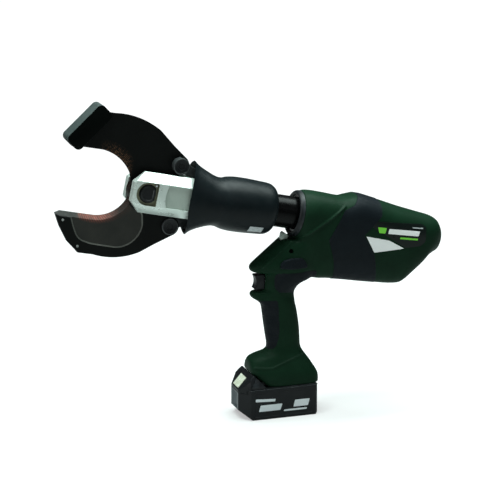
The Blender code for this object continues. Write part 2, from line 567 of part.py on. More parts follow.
shell = join(barrel_body("shell", 0.0), loft("handle", [handle_ring(*s) for s in HANDLE]))
hollow_barrel = []
for u, top, bottom, wide, full in BARREL[2:18]:
    hollow_barrel.append(barrel_ring((u, top, bottom, wide, full), WALL))
hollow_barrel[0] = barrel_ring((-262.5, 36.0, -44.0, 36.0, 2.0), 0.0)
hollow_barrel += [barrel_ring((-504.5, 15.0, -22.0, 17.0, 2.2), 0.0)]
hollow = moved(loft("hollow", hollow_barrel), HEAD)
HOLLOW_HANDLE = (
    (58.5, -29.0, 60.6, 33.0, 5.0), (66.0, -37.0, 60.0, 32.6, 5.0), (74.0, -44.0, 56.6, 31.2, 4.5),
    (86.0, -44.0, 49.2, 26.6, 3.8), (92.0, -38.0, 45.0, 23.4, 3.2), (101.0, -18.0, 38.6, 18.6, 2.8),
    (108.0, -15.0, 36.0, 16.8, 2.6), (132.0, -17.0, 34.0, 16.0, 2.6), (172.0, -22.4, 28.6, 16.0, 2.6),
    (190.0, -22.6, 25.2, 16.0, 2.6), (205.0, -22.0, 26.4, 16.8, 2.5), (214.0, -21.6, 33.0, 19.6, 2.4),
    (224.0, -21.4, 52.0, 22.6, 2.3), (234.0, -21.4, 66.0, 24.6, 2.2), (242.5, -40.0, 80.0, 25.6, 2.2),
    (247.0, -41.0, 90.0, 27.0, 2.2), (252.0, -36.0, 96.0, 28.0, 2.1), (262.0, -23.0, 100.0, 29.5, 2.1),
    (273.0, -9.0, 102.0, 30.6, 2.1), (280.0, 1.0, 102.0, 30.6, 2.1), (284.0, 20.0, 102.0, 30.0, 2.1))
hollow = join(hollow, loft("hollow", [handle_ring(*s) for s in HOLLOW_HANDLE]))

# Screw posts stay standing across the hollow, each split between the halves.
POSTS = ((14.0, 272.5, 1), (4.0, 92.0, -1), (8.0, 183.0, -1), (90.0, 238.0, -1), (204.0, 222.0, -1), (262.0, 272.0, -1))
for x, z, side in POSTS:
    hollow = cut(hollow, rod("post", (x, -70, z), (x, 70, z), 4.6, 12))
shell = cut(shell, hollow)
for x, z, side in POSTS:
    shell = cut(shell, rod("cut", (x, -side * 10, z), (x, side * -60, z), 3.7, 12),
                rod("cut", (x, -side * 20, z), (x, side * 12, z), 1.9, 10))
shell = cut(
    shell,
    block("cut", -70, 54, -27.5, 27.5, 54.6, 60.2),
    block("cut", -70, 54, -21.8, 21.8, 40, 56),
    moved(rod("cut", (-200, 0, 0), (-275, 0, 0), NECK_R + GAP, 32), HEAD),
    block("cut", -60, -15, -8.8, 8.8, 207.2, 233.2),
)

# Pocket for the side button, lens seat and the shallow seat of the soft band.
BUTTON = [(-5.0, 245.5), (-4.0, 253.5), (1.0, 258.5), (13.4, 261.9), (30.0, 261.6), (36.0, 257.0), (40.4, 247.5),
          (38.6, 244.0), (15.0, 242.6)]
shell = cut(shell, plate("cut", BUTTON, -60, -10))
LENS = [(4.6, 284.0), (6.8, 296.0), (9.6, 298.6), (16.6, 293.4), (12.4, 281.2)]
shell = cut(shell, plate("cut", [(2.0, 284.2), (2.0, 300.0), (18.0, 300.0), (17.6, 286.0), (12.6, 280.4)], -7.9, 7.9))
BAND = [(134.0, 375.0), (134.0, 356.0), (118.0, 340.0), (101.0, 333.5), (73.5, 288.0), (83.5, 253.0),
        (92.0, 190.0), (166.0, 185.0), (152.0, 259.0), (133.3, 291.7), (165.0, 321.6), (174.0, 375.0)]


def shrunk(points, by):
    out = []
    for i, (a, b) in enumerate(points):
        p = Vector(points[i - 1])
        q = Vector(points[(i + 1) % len(points)])
        here = Vector((a, b))
        d0 = (here - p).normalized()
        d1 = (q - here).normalized()
        n0 = Vector((-d0.y, d0.x))
        n1 = Vector((-d1.y, d1.x))
        normal = (n0 + n1).normalized()
        out.append((a - normal.x * by / max(normal.dot(n0), 0.3), b - normal.y * by / max(normal.dot(n0), 0.3)))
    return out


area = sum(BAND[i - 1][0] * BAND[i][1] - BAND[i][0] * BAND[i - 1][1] for i in range(len(BAND)))
inward = GAP if area < 0 else -GAP
seat = cut(plate("seat", BAND, -60, 60), barrel_body("core", 1.0))
shell = cut(shell, seat)
band = keep(plate("band", shrunk(BAND, inward), -60, 60), barrel_body("skin", -0.5))
band = cut(band, barrel_body("core", 0.7))
for name, y0, y1 in (("left", -80, -0.15), ("right", 0.15, 80)):
    half = keep(copy_of(shell, "half"), block("side", -200, 400, y0, y1, -50, 500))
    finish(half, "housing_" + name, GREEN, rough=0.5, angle=40)
    half = keep(copy_of(band, "half"), block("side", -200, 400, y0, y1, -50, 500))
    finish(half, "soft_band_" + name, NAVY, rough=0.7, angle=40)
bpy.data.objects.remove(shell, do_unlink=True)
bpy.data.objects.remove(band, do_unlink=True)

collar = turned("collar", [(NECK_R + 4.2, -255.6), (NECK_R + 4.2, -249.6), (NECK_R + 7.6, -247.8), (34.4, -248.4),
                           (36.6, -251.0), (37.2, -255.6)], "x", 28)
finish(collar, "front_collar", BLACK, HEAD, rough=0.45, angle=30)
ring = turned("ring", [(NECK_R + 0.5, -255.6), (NECK_R + 0.5, -252.6), (NECK_R + 3.8, -252.6),
                       (NECK_R + 3.8, -255.6)], "x", 28)
finish(ring, "retaining_ring", STEEL, HEAD, metal=1.0, rough=0.25)
lens = rounded(plate("lens", LENS, -7.5, 7.5), 1.2, 2, 30)
finish(lens, "light_lens", (0.5, 0.58, 0.52), rough=0.2)

for i, (x, z, side) in enumerate(POSTS):
    seat_y = -side * (10 + GAP)
    tip_y = side * 11.0
    out = -side
    screw = turned("screw", [(0, out * 12.6), (2.6, out * 12.6), (3.3, out * 12.0), (3.3, seat_y), (1.6, seat_y),
                             (1.6, tip_y), (0, tip_y)], "y", 10, (x, 0, z))
    finish(screw, "housing_screw_%d" % (i + 1), STEEL, metal=1.0, rough=0.35)

# ---- trigger, switch, side button ----
trigger_line = ([(-24.0, 208.2), (-39.0, 208.2)] + arc((-41.0, 210.0), (-37.6, 221.0), (-40.2, 231.0), 7)
                + [(-38.6, 232.2), (-24.0, 232.2)])
trigger = rounded(plate("trigger", trigger_line, -8.0, 8.0), 1.6, 2, 35)
trigger = join(trigger, rod("stem", (-28, 0, 221), (-4, 0, 221), 3.0, 16))
finish(trigger, "trigger", BLACK, origin=(-24, 0, 221), rough=0.5)
switch = block("switch", -13.0, 16.0, -9.0, 9.0, 207.0, 240.0)
switch = cut(rounded(switch, 1.0, 1), rod("cut", (-20, 0, 221), (6, 0, 221), 3.5, 16))
finish(switch, "trigger_switch", BLACK, rough=0.5)
finish(coil("spring", (-23.3, 0, 221), (-13.9, 0, 221), 5.0, 0.9, 4, 8), "trigger_spring", STEEL, metal=1.0,
       angle=60)
button = plate("button", shrunk(BUTTON, GAP if sum(
    BUTTON[i - 1][0] * BUTTON[i][1] - BUTTON[i][0] * BUTTON[i - 1][1] for i in range(len(BUTTON))) < 0 else -GAP),
    -33.6, -25.0)
button = rounded(button, 1.4, 2, 60)
button = join(button, rod("stem", (18, -27, 252), (18, -17, 252), 3.0, 14))
finish(button, "release_button", NAVY, origin=(18, -27, 252), rough=0.55)
finish(coil("spring", (18, -24.3, 252), (18, -16.0, 252), 5.0, 0.8, 3.5, 8), "release_spring", STEEL, metal=1.0,
       angle=60)
valve = cut(block("valve", 6, 30, -15.2, 6, 242, 262), rod("cut", (18, -30, 252), (18, -6, 252), 3.5, 14))
finish(valve, "release_valve", STEEL, metal=0.9, rough=0.4)
board = block("board", 18.0, 19.6, -13.5, 13.5, 110.0, 165.0)
finish(board, "control_board", (0.01, 0.12, 0.04), rough=0.5)

# ---- pump, gear, motor, tank, on the barrel axis ----
pump = turned("pump", [(0, -266.0), (32.0, -266.0), (32.0, -349.0), (0, -349.0)], "x", 28)
pump = join(pump, block("manifold", -326, -282, -24, 24, -54, -10))
pump = cut(
    pump,
    rod("cut", (-260, 0, 0), (SPIGOT_END - 1, 0, 0), SPIGOT_R + 0.5, 24),
    rod("cut", (-333, 0, 0), (-360, 0, 0), 15.0, 28),
    rod("cut", (-341, 0, 0), (-341, 0, -27.6), 4.3, 16),
    rod("cut", (SPIGOT_END, 0, 0), (-340, 0, 0), 2.5, 12),
)
finish(pump, "pump_body", STEEL, HEAD, metal=0.9, rough=0.45)
eccentric = rod("eccentric", (-337, 0, 2.0), (-345, 0, 2.0), 10.0, 28)
eccentric = join(eccentric, rod("shaft", (-343, 0, 0), (-366, 0, 0), 5.0, 20),
                 rod("gear", (-358, 0, 0), (-366.5, 0, 0), 18.0, 28))
finish(eccentric, "eccentric_shaft", STEEL, HEAD, (-341, 0, 0), metal=1.0, rough=0.35)
plunger = rod("plunger", (-341, 0, -12.4), (-341, 0, -20.4), 4.0, 14)
finish(plunger, "pump_plunger", STEEL, HEAD, (-341, 0, -12.4), metal=1.0, rough=0.25)
finish(coil("spring", (-341, 0, -21.2), (-341, 0, -26.9), 3.3, 0.8, 3.5, 8), "plunger_spring", STEEL, HEAD, metal=1.0,
       angle=60)
gear_case = turned("case", [(5.4, -349.3), (27.0, -349.3), (27.0, -384.0), (4.0, -384.0), (4.0, -381.0),
                            (23.0, -381.0), (23.0, -353.0), (5.4, -353.0)], "x", 24)
finish(gear_case, "gear_case", (0.3, 0.31, 0.32), HEAD, metal=0.7, rough=0.5)
motor = turned("motor", [(25.0, -384.4), (25.0, -450.0), (4.0, -450.0), (4.0, -447.0), (21.6, -447.0),
                         (21.6, -384.4)], "x", 28)
finish(motor, "motor_can", STEEL, HEAD, metal=0.9, rough=0.4)
rotor = turned("rotor", [(0, -370.0), (3.4, -370.0), (3.4, -388.0), (20.6, -388.0), (20.6, -443.0), (3.4, -443.0),
                         (3.4, -452.0), (0, -452.0)], "x", 28)
finish(rotor, "motor_rotor", (0.5, 0.3, 0.15), HEAD, (-370, 0, 0), metal=0.8, rough=0.4)


def tank_ring(u, top, bottom, wide, count=20):
    mid, half = (top + bottom) / 2, (top - bottom) / 2
    return [(u, wide * power(cos(2 * pi * i / count), 0.6), mid + half * power(sin(2 * pi * i / count), 0.6))
            for i in range(count)]


tank = loft("tank", [tank_ring(*s) for s in ((-338, -44, -78, 20), (-344, -39, -84, 25), (-400, -36, -84, 25),
                                             (-406, -42, -78, 20))])
tank = cut(tank, rod("cut", (-360, 0, -50), (-360, 0, -20), 3.0, 12))
finish(tank, "oil_bladder", BLACK, HEAD, rough=0.6, angle=50)

# ---- battery ----
PLAN = [(54.0, -BATT_Y), (57.5, -34.0), (57.5, 34.0), (54.0, BATT_Y), (-56.0, BATT_Y), (-71.8, 18.5),
        (-71.8, -18.5), (-56.0, -BATT_Y)]
NOSE_X, NOSE_SPLIT = -60.3, 43.0
SLOPE_LOW, SLOPE_TOP = Vector((-71.8, 47.8)), Vector((-50.5, 72.0))
case = loft("case", [[(x, y, z) for x, y in PLAN] for z in (0.0, BATT_H)])
case = cut(case, plate("cut", [(-90.0, 26.0), (-77.4, 18.0), (-53.0, -0.01), (-53.0, -20.0), (-90.0, -20.0)], -60, 60))
case = rounded(case, 2.2, 2, 35)
case = cut(case, loft("hollow", [[(x * 0.94 - 0.5, y * 0.93, z) for x, y in PLAN] for z in (23.0, 70.0)]),
           block("cut", -50.0, 54.0, -34.8, 34.8, 2.6, 30.0))
case = cut(case, block("cut", -90, NOSE_X, -60, 60, NOSE_SPLIT, 60), rod("cut", (-88.5, 0, 41), (-88.5, 0, 15), 20.5, 32))
finish(case, "battery_case", BLACK, rough=0.4, angle=40)

NOSE = [(-71.8, NOSE_SPLIT + GAP), tuple(SLOPE_LOW), tuple(SLOPE_TOP), (-48.6, 72.0), (-31.0, 54.0),
        (-31.0, BATT_H + GAP), (NOSE_X - GAP, BATT_H + GAP), (NOSE_X - GAP, NOSE_SPLIT + GAP)]
along = (SLOPE_TOP - SLOPE_LOW).normalized()
outward = Vector((-along.y, along.x))


def on_slope(distance, height):
    """Point at a distance up the nose slope and a height above it."""
    return tuple(SLOPE_LOW + along * distance + outward * height)


top = plate("top", NOSE, -BATT_Y + 1.0, BATT_Y - 1.0)
top = keep(top, loft("plan", [[(x, y * s, z) for x, y in PLAN] for z, s in ((30.0, 1.0), (56.0, 1.0), (90.0, 0.62))]))
top = join(top, block("deck", -40, 57.0, -36.4, 36.4, BATT_H + GAP, 51.6),
           block("neck", -36, 51, -21.4, 21.4, 51, 55.6),
           block("rail", -36, 51, -27.1, 27.1, 54.9, 59.6))
top = cut(top, plate("cut", [on_slope(1.8, 3.0), on_slope(24.0, 3.0), on_slope(24.0, -4.8), on_slope(1.8, -4.8)],
                     -13.4, 13.4),
          block("cut", -30, 60, -14, 14, 53.0, 70),
          block("cut", -20, 40, -10, 10, 40, 52.0))
finish(rounded(top, 0.8, 1, 50), "battery_top", BLACK, rough=0.45, angle=35)
latch = plate("latch", [on_slope(2.4, 0.6), on_slope(23.4, 0.6), on_slope(23.4, -1.8), on_slope(2.4, -1.8)], -12.9, 12.9)
finish(rounded(latch, 0.6, 1, 50), "battery_button", (0.62, 0.66, 0.5), origin=(-63.3, 0, 57.5), rough=0.5)

terminal = block("terminal", -22.0, 42.0, -12.0, 12.0, 60.5, 70.0)
terminal = join(terminal, block("blade", -10, 20, -9, -6, 54.0, 62), block("blade", -10, 20, 6, 9, 54.0, 62))
finish(terminal, "terminal_block", (0.5, 0.35, 0.02), rough=0.5)

cells = None
for row in range(2):
    for col in range(5):
        cell = rod("cell", (-38.5 + 19.6 * col, -32.5, 12.9 + 19.2 * row),
                   (-38.5 + 19.6 * col, 32.5, 12.9 + 19.2 * row), 9.7, 12)
        cells = cell if cells is None else join(cells, cell)
cells = join(cells, block("holder", -44, 46, -26, 26, 8, 38))
finish(cells, "cell_pack", (0.1, 0.3, 0.45), rough=0.4)
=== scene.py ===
"""Looks of the battery-hydraulic rescue cutter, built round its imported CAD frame. Metres, +Z up."""

from math import atan2, cos, hypot, pi, radians, sin, sqrt

import bmesh
import bpy
import numpy as np
from mathutils import Matrix, Vector


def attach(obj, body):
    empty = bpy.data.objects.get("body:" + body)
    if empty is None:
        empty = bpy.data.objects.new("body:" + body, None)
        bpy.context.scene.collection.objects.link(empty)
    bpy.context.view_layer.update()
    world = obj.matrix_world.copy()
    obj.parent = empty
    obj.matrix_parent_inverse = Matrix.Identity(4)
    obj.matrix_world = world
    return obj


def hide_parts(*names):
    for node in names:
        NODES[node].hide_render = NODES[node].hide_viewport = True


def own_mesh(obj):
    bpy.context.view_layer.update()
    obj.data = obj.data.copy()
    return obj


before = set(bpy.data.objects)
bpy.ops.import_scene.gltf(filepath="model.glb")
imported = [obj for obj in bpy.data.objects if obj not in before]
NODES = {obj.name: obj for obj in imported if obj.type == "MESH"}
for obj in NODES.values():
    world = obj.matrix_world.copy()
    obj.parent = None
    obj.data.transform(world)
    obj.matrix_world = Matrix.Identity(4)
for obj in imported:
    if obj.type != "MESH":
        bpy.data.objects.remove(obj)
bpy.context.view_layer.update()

# Lengths are in millimetres, as in the CAD source, and MM scales them when a mesh is made.
MM = 0.001
GAP = 0.3                      # clearance between parts that fit into each other
FAR = 60.0                     # reach of a cutter that goes right through
WELD = 5e-7                    # vertices closer than this are merged, in metres
FAST = "MANIFOLD"              # boolean solver for the dense shells
TILT = radians(12.0)           # how far the barrel points up
PIVOT = Vector((-0.2176, 0.0, 0.380))
HEAD = Matrix((
    (-cos(TILT), 0.0, sin(TILT), PIVOT.x),
    (0.0, -1.0, 0.0, 0.0),
    (sin(TILT), 0.0, cos(TILT), PIVOT.z),
    (0.0, 0.0, 0.0, 1.0),
))
TOOL = Matrix.Identity(4)
NEAR0, NEAR1 = 0.25, 8.65      # shear face and outer face of each blade layer
ARM, CROSS_W, LINK_L = 48.0, 22.0, 75.0
CROSS_U = -ARM - sqrt(LINK_L ** 2 - (ARM - CROSS_W) ** 2)
SLOT_Y, YOKE_Y, YOKE_W, YOKE_CHAMFER = 10.9, 27.0, 32.5, 14.0
BOLT_R, CYL_R, BORE_R = 12.0, 34.8, 27.0
SLOT_END, CYL_END = -137.5, -206.0
NECK_R, SPIGOT_R, NECK_END, SPIGOT_END = 26.0, 19.0, -262.0, -300.0
PIN_R, EYE_R, HUB_R = 7.0, 15.5, 27.5        # link pins, and the eyes and hubs of the blades
WALL = 2.6
BATT_Y, BATT_H = 37.5, 50.0


# ---------------------------------------------------------------- mesh helpers
def add(name, mesh):
    obj = bpy.data.objects.new(name, mesh)
    bpy.context.scene.collection.objects.link(obj)
    return obj


def drop(obj):
    bpy.data.objects.remove(obj, do_unlink=True)


def tidy(obj):
    bm = bmesh.new()
    bm.from_mesh(obj.data)
    bmesh.ops.remove_doubles(bm, verts=bm.verts, dist=WELD)
    bmesh.ops.recalc_face_normals(bm, faces=bm.faces)
    bm.to_mesh(obj.data)
    bm.free()
    return obj


def solid(name, verts, faces):
    """Closed mesh from points in millimetres."""
    mesh = bpy.data.meshes.new(name)
    mesh.from_pydata([Vector(v) * MM for v in verts], [], faces)
    return tidy(add(name, mesh))


def bake(obj):
    bpy.context.view_layer.update()
    deps = bpy.context.evaluated_depsgraph_get()
    mesh = bpy.data.meshes.new_from_object(obj.evaluated_get(deps))
    name = obj.name
    drop(obj)
    return tidy(add(name, mesh))


def combine(obj, tool, operation, solver="EXACT"):
    mod = obj.modifiers.new("Combine", "BOOLEAN")
    mod.solver = solver
    mod.operation = operation
    mod.object = tool
    done = bake(obj)
    drop(tool)
    return done


def cut(obj, *tools, solver="EXACT"):
    for tool in tools:
        obj = combine(obj, tool, "DIFFERENCE", solver)
    return obj


def join(obj, *tools, solver="EXACT"):
    for tool in tools:
        obj = combine(obj, tool, "UNION", solver)
    return obj


def keep(obj, tool, solver="EXACT"):
    return combine(obj, tool, "INTERSECT", solver)


def copy_of(obj, name):
    return add(name, obj.data.copy())


def bevel(obj, width, segments, angle):
    mod = obj.modifiers.new("Round", "BEVEL")
    mod.width = width * MM
    mod.segments = segments
    mod.limit_method = "ANGLE"
    mod.angle_limit = radians(angle)


def rounded(obj, width, segments=3, angle=30.0):
    bevel(obj, width, segments, angle)
    return bake(obj)


def moved(obj, matrix):
    obj.data.transform(matrix)
    return obj


def block(name, x0, x1, y0, y1, z0, z1):
    corners = [(x, y, z) for x in (x0, x1) for y in (y0, y1) for z in (z0, z1)]
    faces = [(0, 1, 3, 2), (4, 6, 7, 5), (0, 4, 5, 1), (2, 3, 7, 6), (0, 2, 6, 4), (1, 5, 7, 3)]
    return solid(name, corners, faces)


def rod(name, start, end, radius, sides=48):
    a, b = Vector(start) * MM, Vector(end) * MM
    turn = (b - a).to_track_quat("Z", "Y").to_matrix().to_4x4()
    bm = bmesh.new()
    bmesh.ops.create_cone(
        bm, cap_ends=True, segments=sides, radius1=radius * MM, radius2=radius * MM, depth=(b - a).length,
        matrix=Matrix.Translation((a + b) / 2) @ turn)
    mesh = bpy.data.meshes.new(name)
    bm.to_mesh(mesh)
    bm.free()
    return add(name, mesh)


def drill(x, z, radius, y0=-FAR, y1=FAR, sides=48):
    """Round cutter across the tool."""
    return rod("cut", (x, y0, z), (x, y1, z), radius, sides)


def plate(name, outline, y0, y1):
    """Outline in x and z, extruded from y0 to y1."""
    n = len(outline)
    faces = [tuple(range(n)), tuple(range(n, 2 * n))]
    faces += [(i, (i + 1) % n, n + (i + 1) % n, n + i) for i in range(n)]
    return solid(name, [(a, y, b) for y in (y0, y1) for a, b in outline], faces)


AXES = {"x": Matrix.Rotation(pi / 2, 4, "Y"), "y": Matrix.Rotation(-pi / 2, 4, "X"), "z": Matrix.Identity(4)}


def turned(name, profile, axis="x", steps=72, centre=(0.0, 0.0, 0.0)):
    """Profile of (radius, along axis) pairs turned about the axis."""
    count = len(profile)
    edges = [(i, i + 1) for i in range(count - 1)]
    if profile[0][0] > 0:
        edges.append((count - 1, 0))
    mesh = bpy.data.meshes.new(name)
    mesh.from_pydata([(r * MM, 0.0, z * MM) for r, z in profile], edges, [])
    obj = add(name, mesh)
    mod = obj.modifiers.new("Turn", "SCREW")
    mod.angle = 2 * pi
    mod.steps = steps
    mod.render_steps = steps
    mod.use_merge_vertices = True
    mod.merge_threshold = 0.00001
    obj = bake(obj)
    return moved(obj, Matrix.Translation(Vector(centre) * MM) @ AXES[axis])


def loft(name, rings):
    count = len(rings[0])
    verts = [p for ring in rings for p in ring]
    faces = [tuple(range(count)), tuple(range(len(verts) - count, len(verts)))]
    for r in range(len(rings) - 1):
        for i in range(count):
            j = (i + 1) % count
            faces.append((r * count + i, r * count + j, (r + 1) * count + j, (r + 1) * count + i))
    return solid(name, verts, faces)


def layered(name, outline, layers, side=1):
    """Outline in x and z, shrunk by its own amount at each y. Side -1 mirrors the layers."""
    return loft(name, [[(a, side * y, b) for a, b in shrunk(outline, by)] for y, by in layers])


def arc(p0, pm, p1, count):
    """Points of the circle through three points, from p0 to p1, both ends included."""
    ax, ay = p0
    bx, by = pm
    cx, cy = p1
    d = 2 * (ax * (by - cy) + bx * (cy - ay) + cx * (ay - by))
    a2, b2, c2 = ax * ax + ay * ay, bx * bx + by * by, cx * cx + cy * cy
    ox = (a2 * (by - cy) + b2 * (cy - ay) + c2 * (ay - by)) / d
    oy = (a2 * (cx - bx) + b2 * (ax - cx) + c2 * (bx - ax)) / d
    start = atan2(ay - oy, ax - ox)
    mid = (atan2(by - oy, bx - ox) - start) % (2 * pi)
    sweep = (atan2(cy - oy, cx - ox) - start) % (2 * pi)
    if mid > sweep:
        sweep -= 2 * pi
    r = hypot(ax - ox, ay - oy)
    return [(ox + r * cos(start + sweep * i / count), oy + r * sin(start + sweep * i / count))
            for i in range(count + 1)]


def circle(cx, cy, r, start, end, count):
    return [(cx + r * cos(radians(start + (end - start) * i / count)),
             cy + r * sin(radians(start + (end - start) * i / count))) for i in range(count + 1)]


def round_box(x0, x1, z0, z1, r, count=8):
    return (circle(x1 - r, z0 + r, r, -90, 0, count) + circle(x1 - r, z1 - r, r, 0, 90, count)
            + circle(x0 + r, z1 - r, r, 90, 180, count) + circle(x0 + r, z0 + r, r, 180, 270, count))


def power(value, exponent):
    return (abs(value) ** exponent) * (1 if value >= 0 else -1)


def signed_area(points):
    return sum(points[i - 1][0] * points[i][1] - points[i][0] * points[i - 1][1]
               for i in range(len(points))) / 2


def shrunk(points, by):
    """Outline moved inwards by that much, or outwards if negative."""
    by = by if signed_area(points) > 0 else -by
    out = []
    for i, (a, b) in enumerate(points):
        p, q, here = Vector(points[i - 1]), Vector(points[(i + 1) % len(points)]), Vector((a, b))
        d0, d1 = (here - p).normalized(), (q - here).normalized()
        n0, n1 = Vector((-d0.y, d0.x)), Vector((-d1.y, d1.x))
        normal = (n0 + n1).normalized()
        slant = max(normal.dot(n0), 0.3)
        out.append((a + normal.x * by / slant, b + normal.y * by / slant))
    return out


def softened(points, radius, count=5):
    """Outline with each corner turned into a small curve."""
    out = []
    for i, here in enumerate(points):
        h = Vector(here)
        p, q = Vector(points[i - 1]), Vector(points[(i + 1) % len(points)])
        r = min(radius, (p - h).length * 0.45, (q - h).length * 0.45)
        a, b = h + (p - h).normalized() * r, h + (q - h).normalized() * r
        for k in range(count + 1):
            t = k / count
            out.append(tuple((1 - t) ** 2 * a + 2 * t * (1 - t) * h + t * t * b))
    return out


def smooth_rows(rows, per):
    """Rows of numbers with per - 1 more between each pair, on a curve that doesn't overshoot."""
    rows = np.array(rows, float)
    n = len(rows)
    out = []
    for i in range(n - 1):
        p0, p1, p2, p3 = rows[max(i - 1, 0)], rows[i], rows[i + 1], rows[min(i + 2, n - 1)]
        lo, hi = np.minimum(p1, p2), np.maximum(p1, p2)
        for k in range(per):
            t = k / per
            v = 0.5 * (2 * p1 + (p2 - p0) * t + (2 * p0 - 5 * p1 + 4 * p2 - p3) * t * t
                       + (3 * p1 - p0 - 3 * p2 + p3) * t ** 3)
            out.append(np.clip(v, lo, hi))
    out.append(rows[-1])
    return [tuple(r) for r in out]


# ---------------------------------------------------------------- materials
class Nodes:
    def __init__(self, name):
        self.mat = bpy.data.materials.new(name)
        self.mat.use_nodes = True
        self.tree = self.mat.node_tree
        self.shader = self.tree.nodes["Principled BSDF"]

    def new(self, kind, **values):
        node = self.tree.nodes.new(kind)
        for key, value in values.items():
            if hasattr(node, key):
                setattr(node, key, value)
            else:
                node.inputs[key].default_value = value
        return node

    def link(self, a, b):
        self.tree.links.new(a, b)

    def noise(self, vector, scale, detail=4.0, rough=0.55):
        node = self.new("ShaderNodeTexNoise")
        node.inputs["Scale"].default_value = scale
        node.inputs["Detail"].default_value = detail
        node.inputs["Roughness"].default_value = rough
        self.link(vector, node.inputs["Vector"])
        return node.outputs["Fac"]

    def span(self, value, a, b, lo, hi):
        node = self.new("ShaderNodeMapRange")
        for key, v in (("From Min", a), ("From Max", b), ("To Min", lo), ("To Max", hi)):
            node.inputs[key].default_value = v
        self.link(value, node.inputs["Value"])
        return node.outputs["Result"]

    def mix(self, fac, a, b):
        node = self.new("ShaderNodeMix", data_type="RGBA")
        self.link(fac, node.inputs["Factor"])
        for key, v in ((6, a), (7, b)):
            if isinstance(v, tuple):
                node.inputs[key].default_value = (*v, 1.0)
            else:
                self.link(v, node.inputs[key])
        return node.outputs[2]

    def math(self, operation, a, b=None):
        node = self.new("ShaderNodeMath", operation=operation)
        for i, v in enumerate((a, b)):
            if v is None:
                continue
            if isinstance(v, (int, float)):
                node.inputs[i].default_value = v
            else:
                self.link(v, node.inputs[i])
        return node.outputs[0]


def finish_of(name, low, high, rough=(0.4, 0.55), metal=0.0, blotch=28.0, grain=900.0, bump=0.08,
              wear=None, wear_from=0.53, brushed=None, coat=0.0, specular=0.5, extra=None, speckle=None):
    """Material whose colour, roughness, relief and edge wear all come from procedural textures."""
    m = Nodes(name)
    where = m.new("ShaderNodeTexCoord").outputs["Object"]
    if brushed:
        aim = m.new("ShaderNodeMapping")
        aim.inputs["Rotation"].default_value = (0.0, TILT, 0.0)
        aim.inputs["Scale"].default_value = brushed
        m.link(where, aim.inputs["Vector"])
        lines = aim.outputs["Vector"]
    else:
        lines = where
    tone = m.noise(where, blotch)
    fine = m.noise(lines, grain, 3.0, 0.6)
    both = m.math("ADD", m.math("MULTIPLY", tone, 0.7), m.math("MULTIPLY", fine, 0.3))
    colour = m.mix(m.span(both, 0.32, 0.68, 0.0, 1.0), low, high)
    roughness = m.span(m.noise(where, blotch * 3.1), 0.3, 0.7, rough[0], rough[1])
    if speckle:
        dots = m.span(m.noise(where, 2600.0, 2.0, 0.5), 0.60, 0.72, 0.0, 0.5)
        colour = m.mix(dots, colour, speckle)
    if wear:
        edge = m.new("ShaderNodeNewGeometry").outputs["Pointiness"]
        worn = m.math("MULTIPLY", m.span(edge, wear_from, wear_from + 0.05, 0.0, 1.0),
                      m.span(m.noise(where, 160.0), 0.35, 0.65, 0.15, 0.9))
        colour = m.mix(worn, colour, wear)
    if extra:
        colour = extra(m, where, colour)
    m.link(colour, m.shader.inputs["Base Color"])
    m.link(roughness, m.shader.inputs["Roughness"])
    m.shader.inputs["Metallic"].default_value = metal
    m.shader.inputs["Specular IOR Level"].default_value = specular
    if coat:
        m.shader.inputs["Coat Weight"].default_value = coat
        m.shader.inputs["Coat Roughness"].default_value = 0.2
    relief = m.new("ShaderNodeBump")
    relief.inputs["Strength"].default_value = bump
    relief.inputs["Distance"].default_value = 0.0004
    m.link(fine, relief.inputs["Height"])
    m.link(relief.outputs["Normal"], m.shader.inputs["Normal"])
    return m.mat


def rubs_and_painted_reflection(centre, near_edge, start, stop, lines, spiral, contrast, grain, patches, tint):
    """Step for finish_of that adds a hatched band round a centre: rub marks of the shear on a blade, tinted
    with a painted reflection.

    Metres along and across the head. Pairs and fours are the arguments of Nodes.span.
    """
    def step(m, where, colour):
        node = m.new("ShaderNodeMapping", vector_type="TEXTURE")
        node.inputs["Location"].default_value = PIVOT
        node.inputs["Rotation"].default_value = (0.0, TILT, 0.0)
        m.link(where, node.inputs["Vector"])
        split = m.new("ShaderNodeSeparateXYZ")
        m.link(node.outputs["Vector"], split.inputs["Vector"])
        u = m.math("MULTIPLY", split.outputs["X"], -1.0)
        du = m.math("SUBTRACT", u, centre[0])
        dw = m.math("SUBTRACT", split.outputs["Z"], centre[1])
        ring = m.math("SQRT", m.math("ADD", m.math("MULTIPLY", du, du), m.math("MULTIPLY", dw, dw)))
        along = m.math("MULTIPLY", m.span(u, *start), m.span(u, *stop, 0.0, 1.0))
        angle = m.math("ADD", m.math("ARCTAN2", dw, du), m.math("MULTIPLY", ring, spiral))
        hatch = m.span(m.math("SINE", m.math("MULTIPLY", angle, lines)), *contrast)
        patchy = m.span(m.noise(where, grain), *patches)
        band = m.math("MULTIPLY", m.span(ring, *near_edge, 0.0, 1.0), along)
        # the hatch stands for rub marks; the tint it is mixed towards is a painted reflection
        return m.mix(m.math("MULTIPLY", band, m.math("MULTIPLY", hatch, patchy)), colour, tint)

    return step


# copper hatch on the ground edge and the sunk panel: rub marks with a painted copper reflection
COPPER_RUBS_AND_PAINTED_REFLECTION = rubs_and_painted_reflection(
    centre=(0.076, 0.018), near_edge=(0.0785, 0.0700), start=(0.036, 0.060, 0.12, 1.0), stop=(0.101, 0.095),
    lines=118.0, spiral=9.0, contrast=(-0.7, 0.9, 0.12, 1.0), grain=240.0, patches=(0.3, 0.62, 0.35, 1.0),
    tint=(0.31, 0.082, 0.055))
# brown hatch on the blade flats near the cutting edges: rub marks with a painted reflection
BROWN_RUBS_AND_PAINTED_REFLECTION = rubs_and_painted_reflection(
    centre=(0.078, -0.002), near_edge=(0.073, 0.060), start=(0.024, 0.034, 0.0, 1.0), stop=(0.084, 0.060),
    lines=170.0, spiral=0.0, contrast=(-0.3, 1.0, 0.0, 1.0), grain=300.0, patches=(0.42, 0.66, 0.0, 1.0),
    tint=(0.26, 0.13, 0.07))

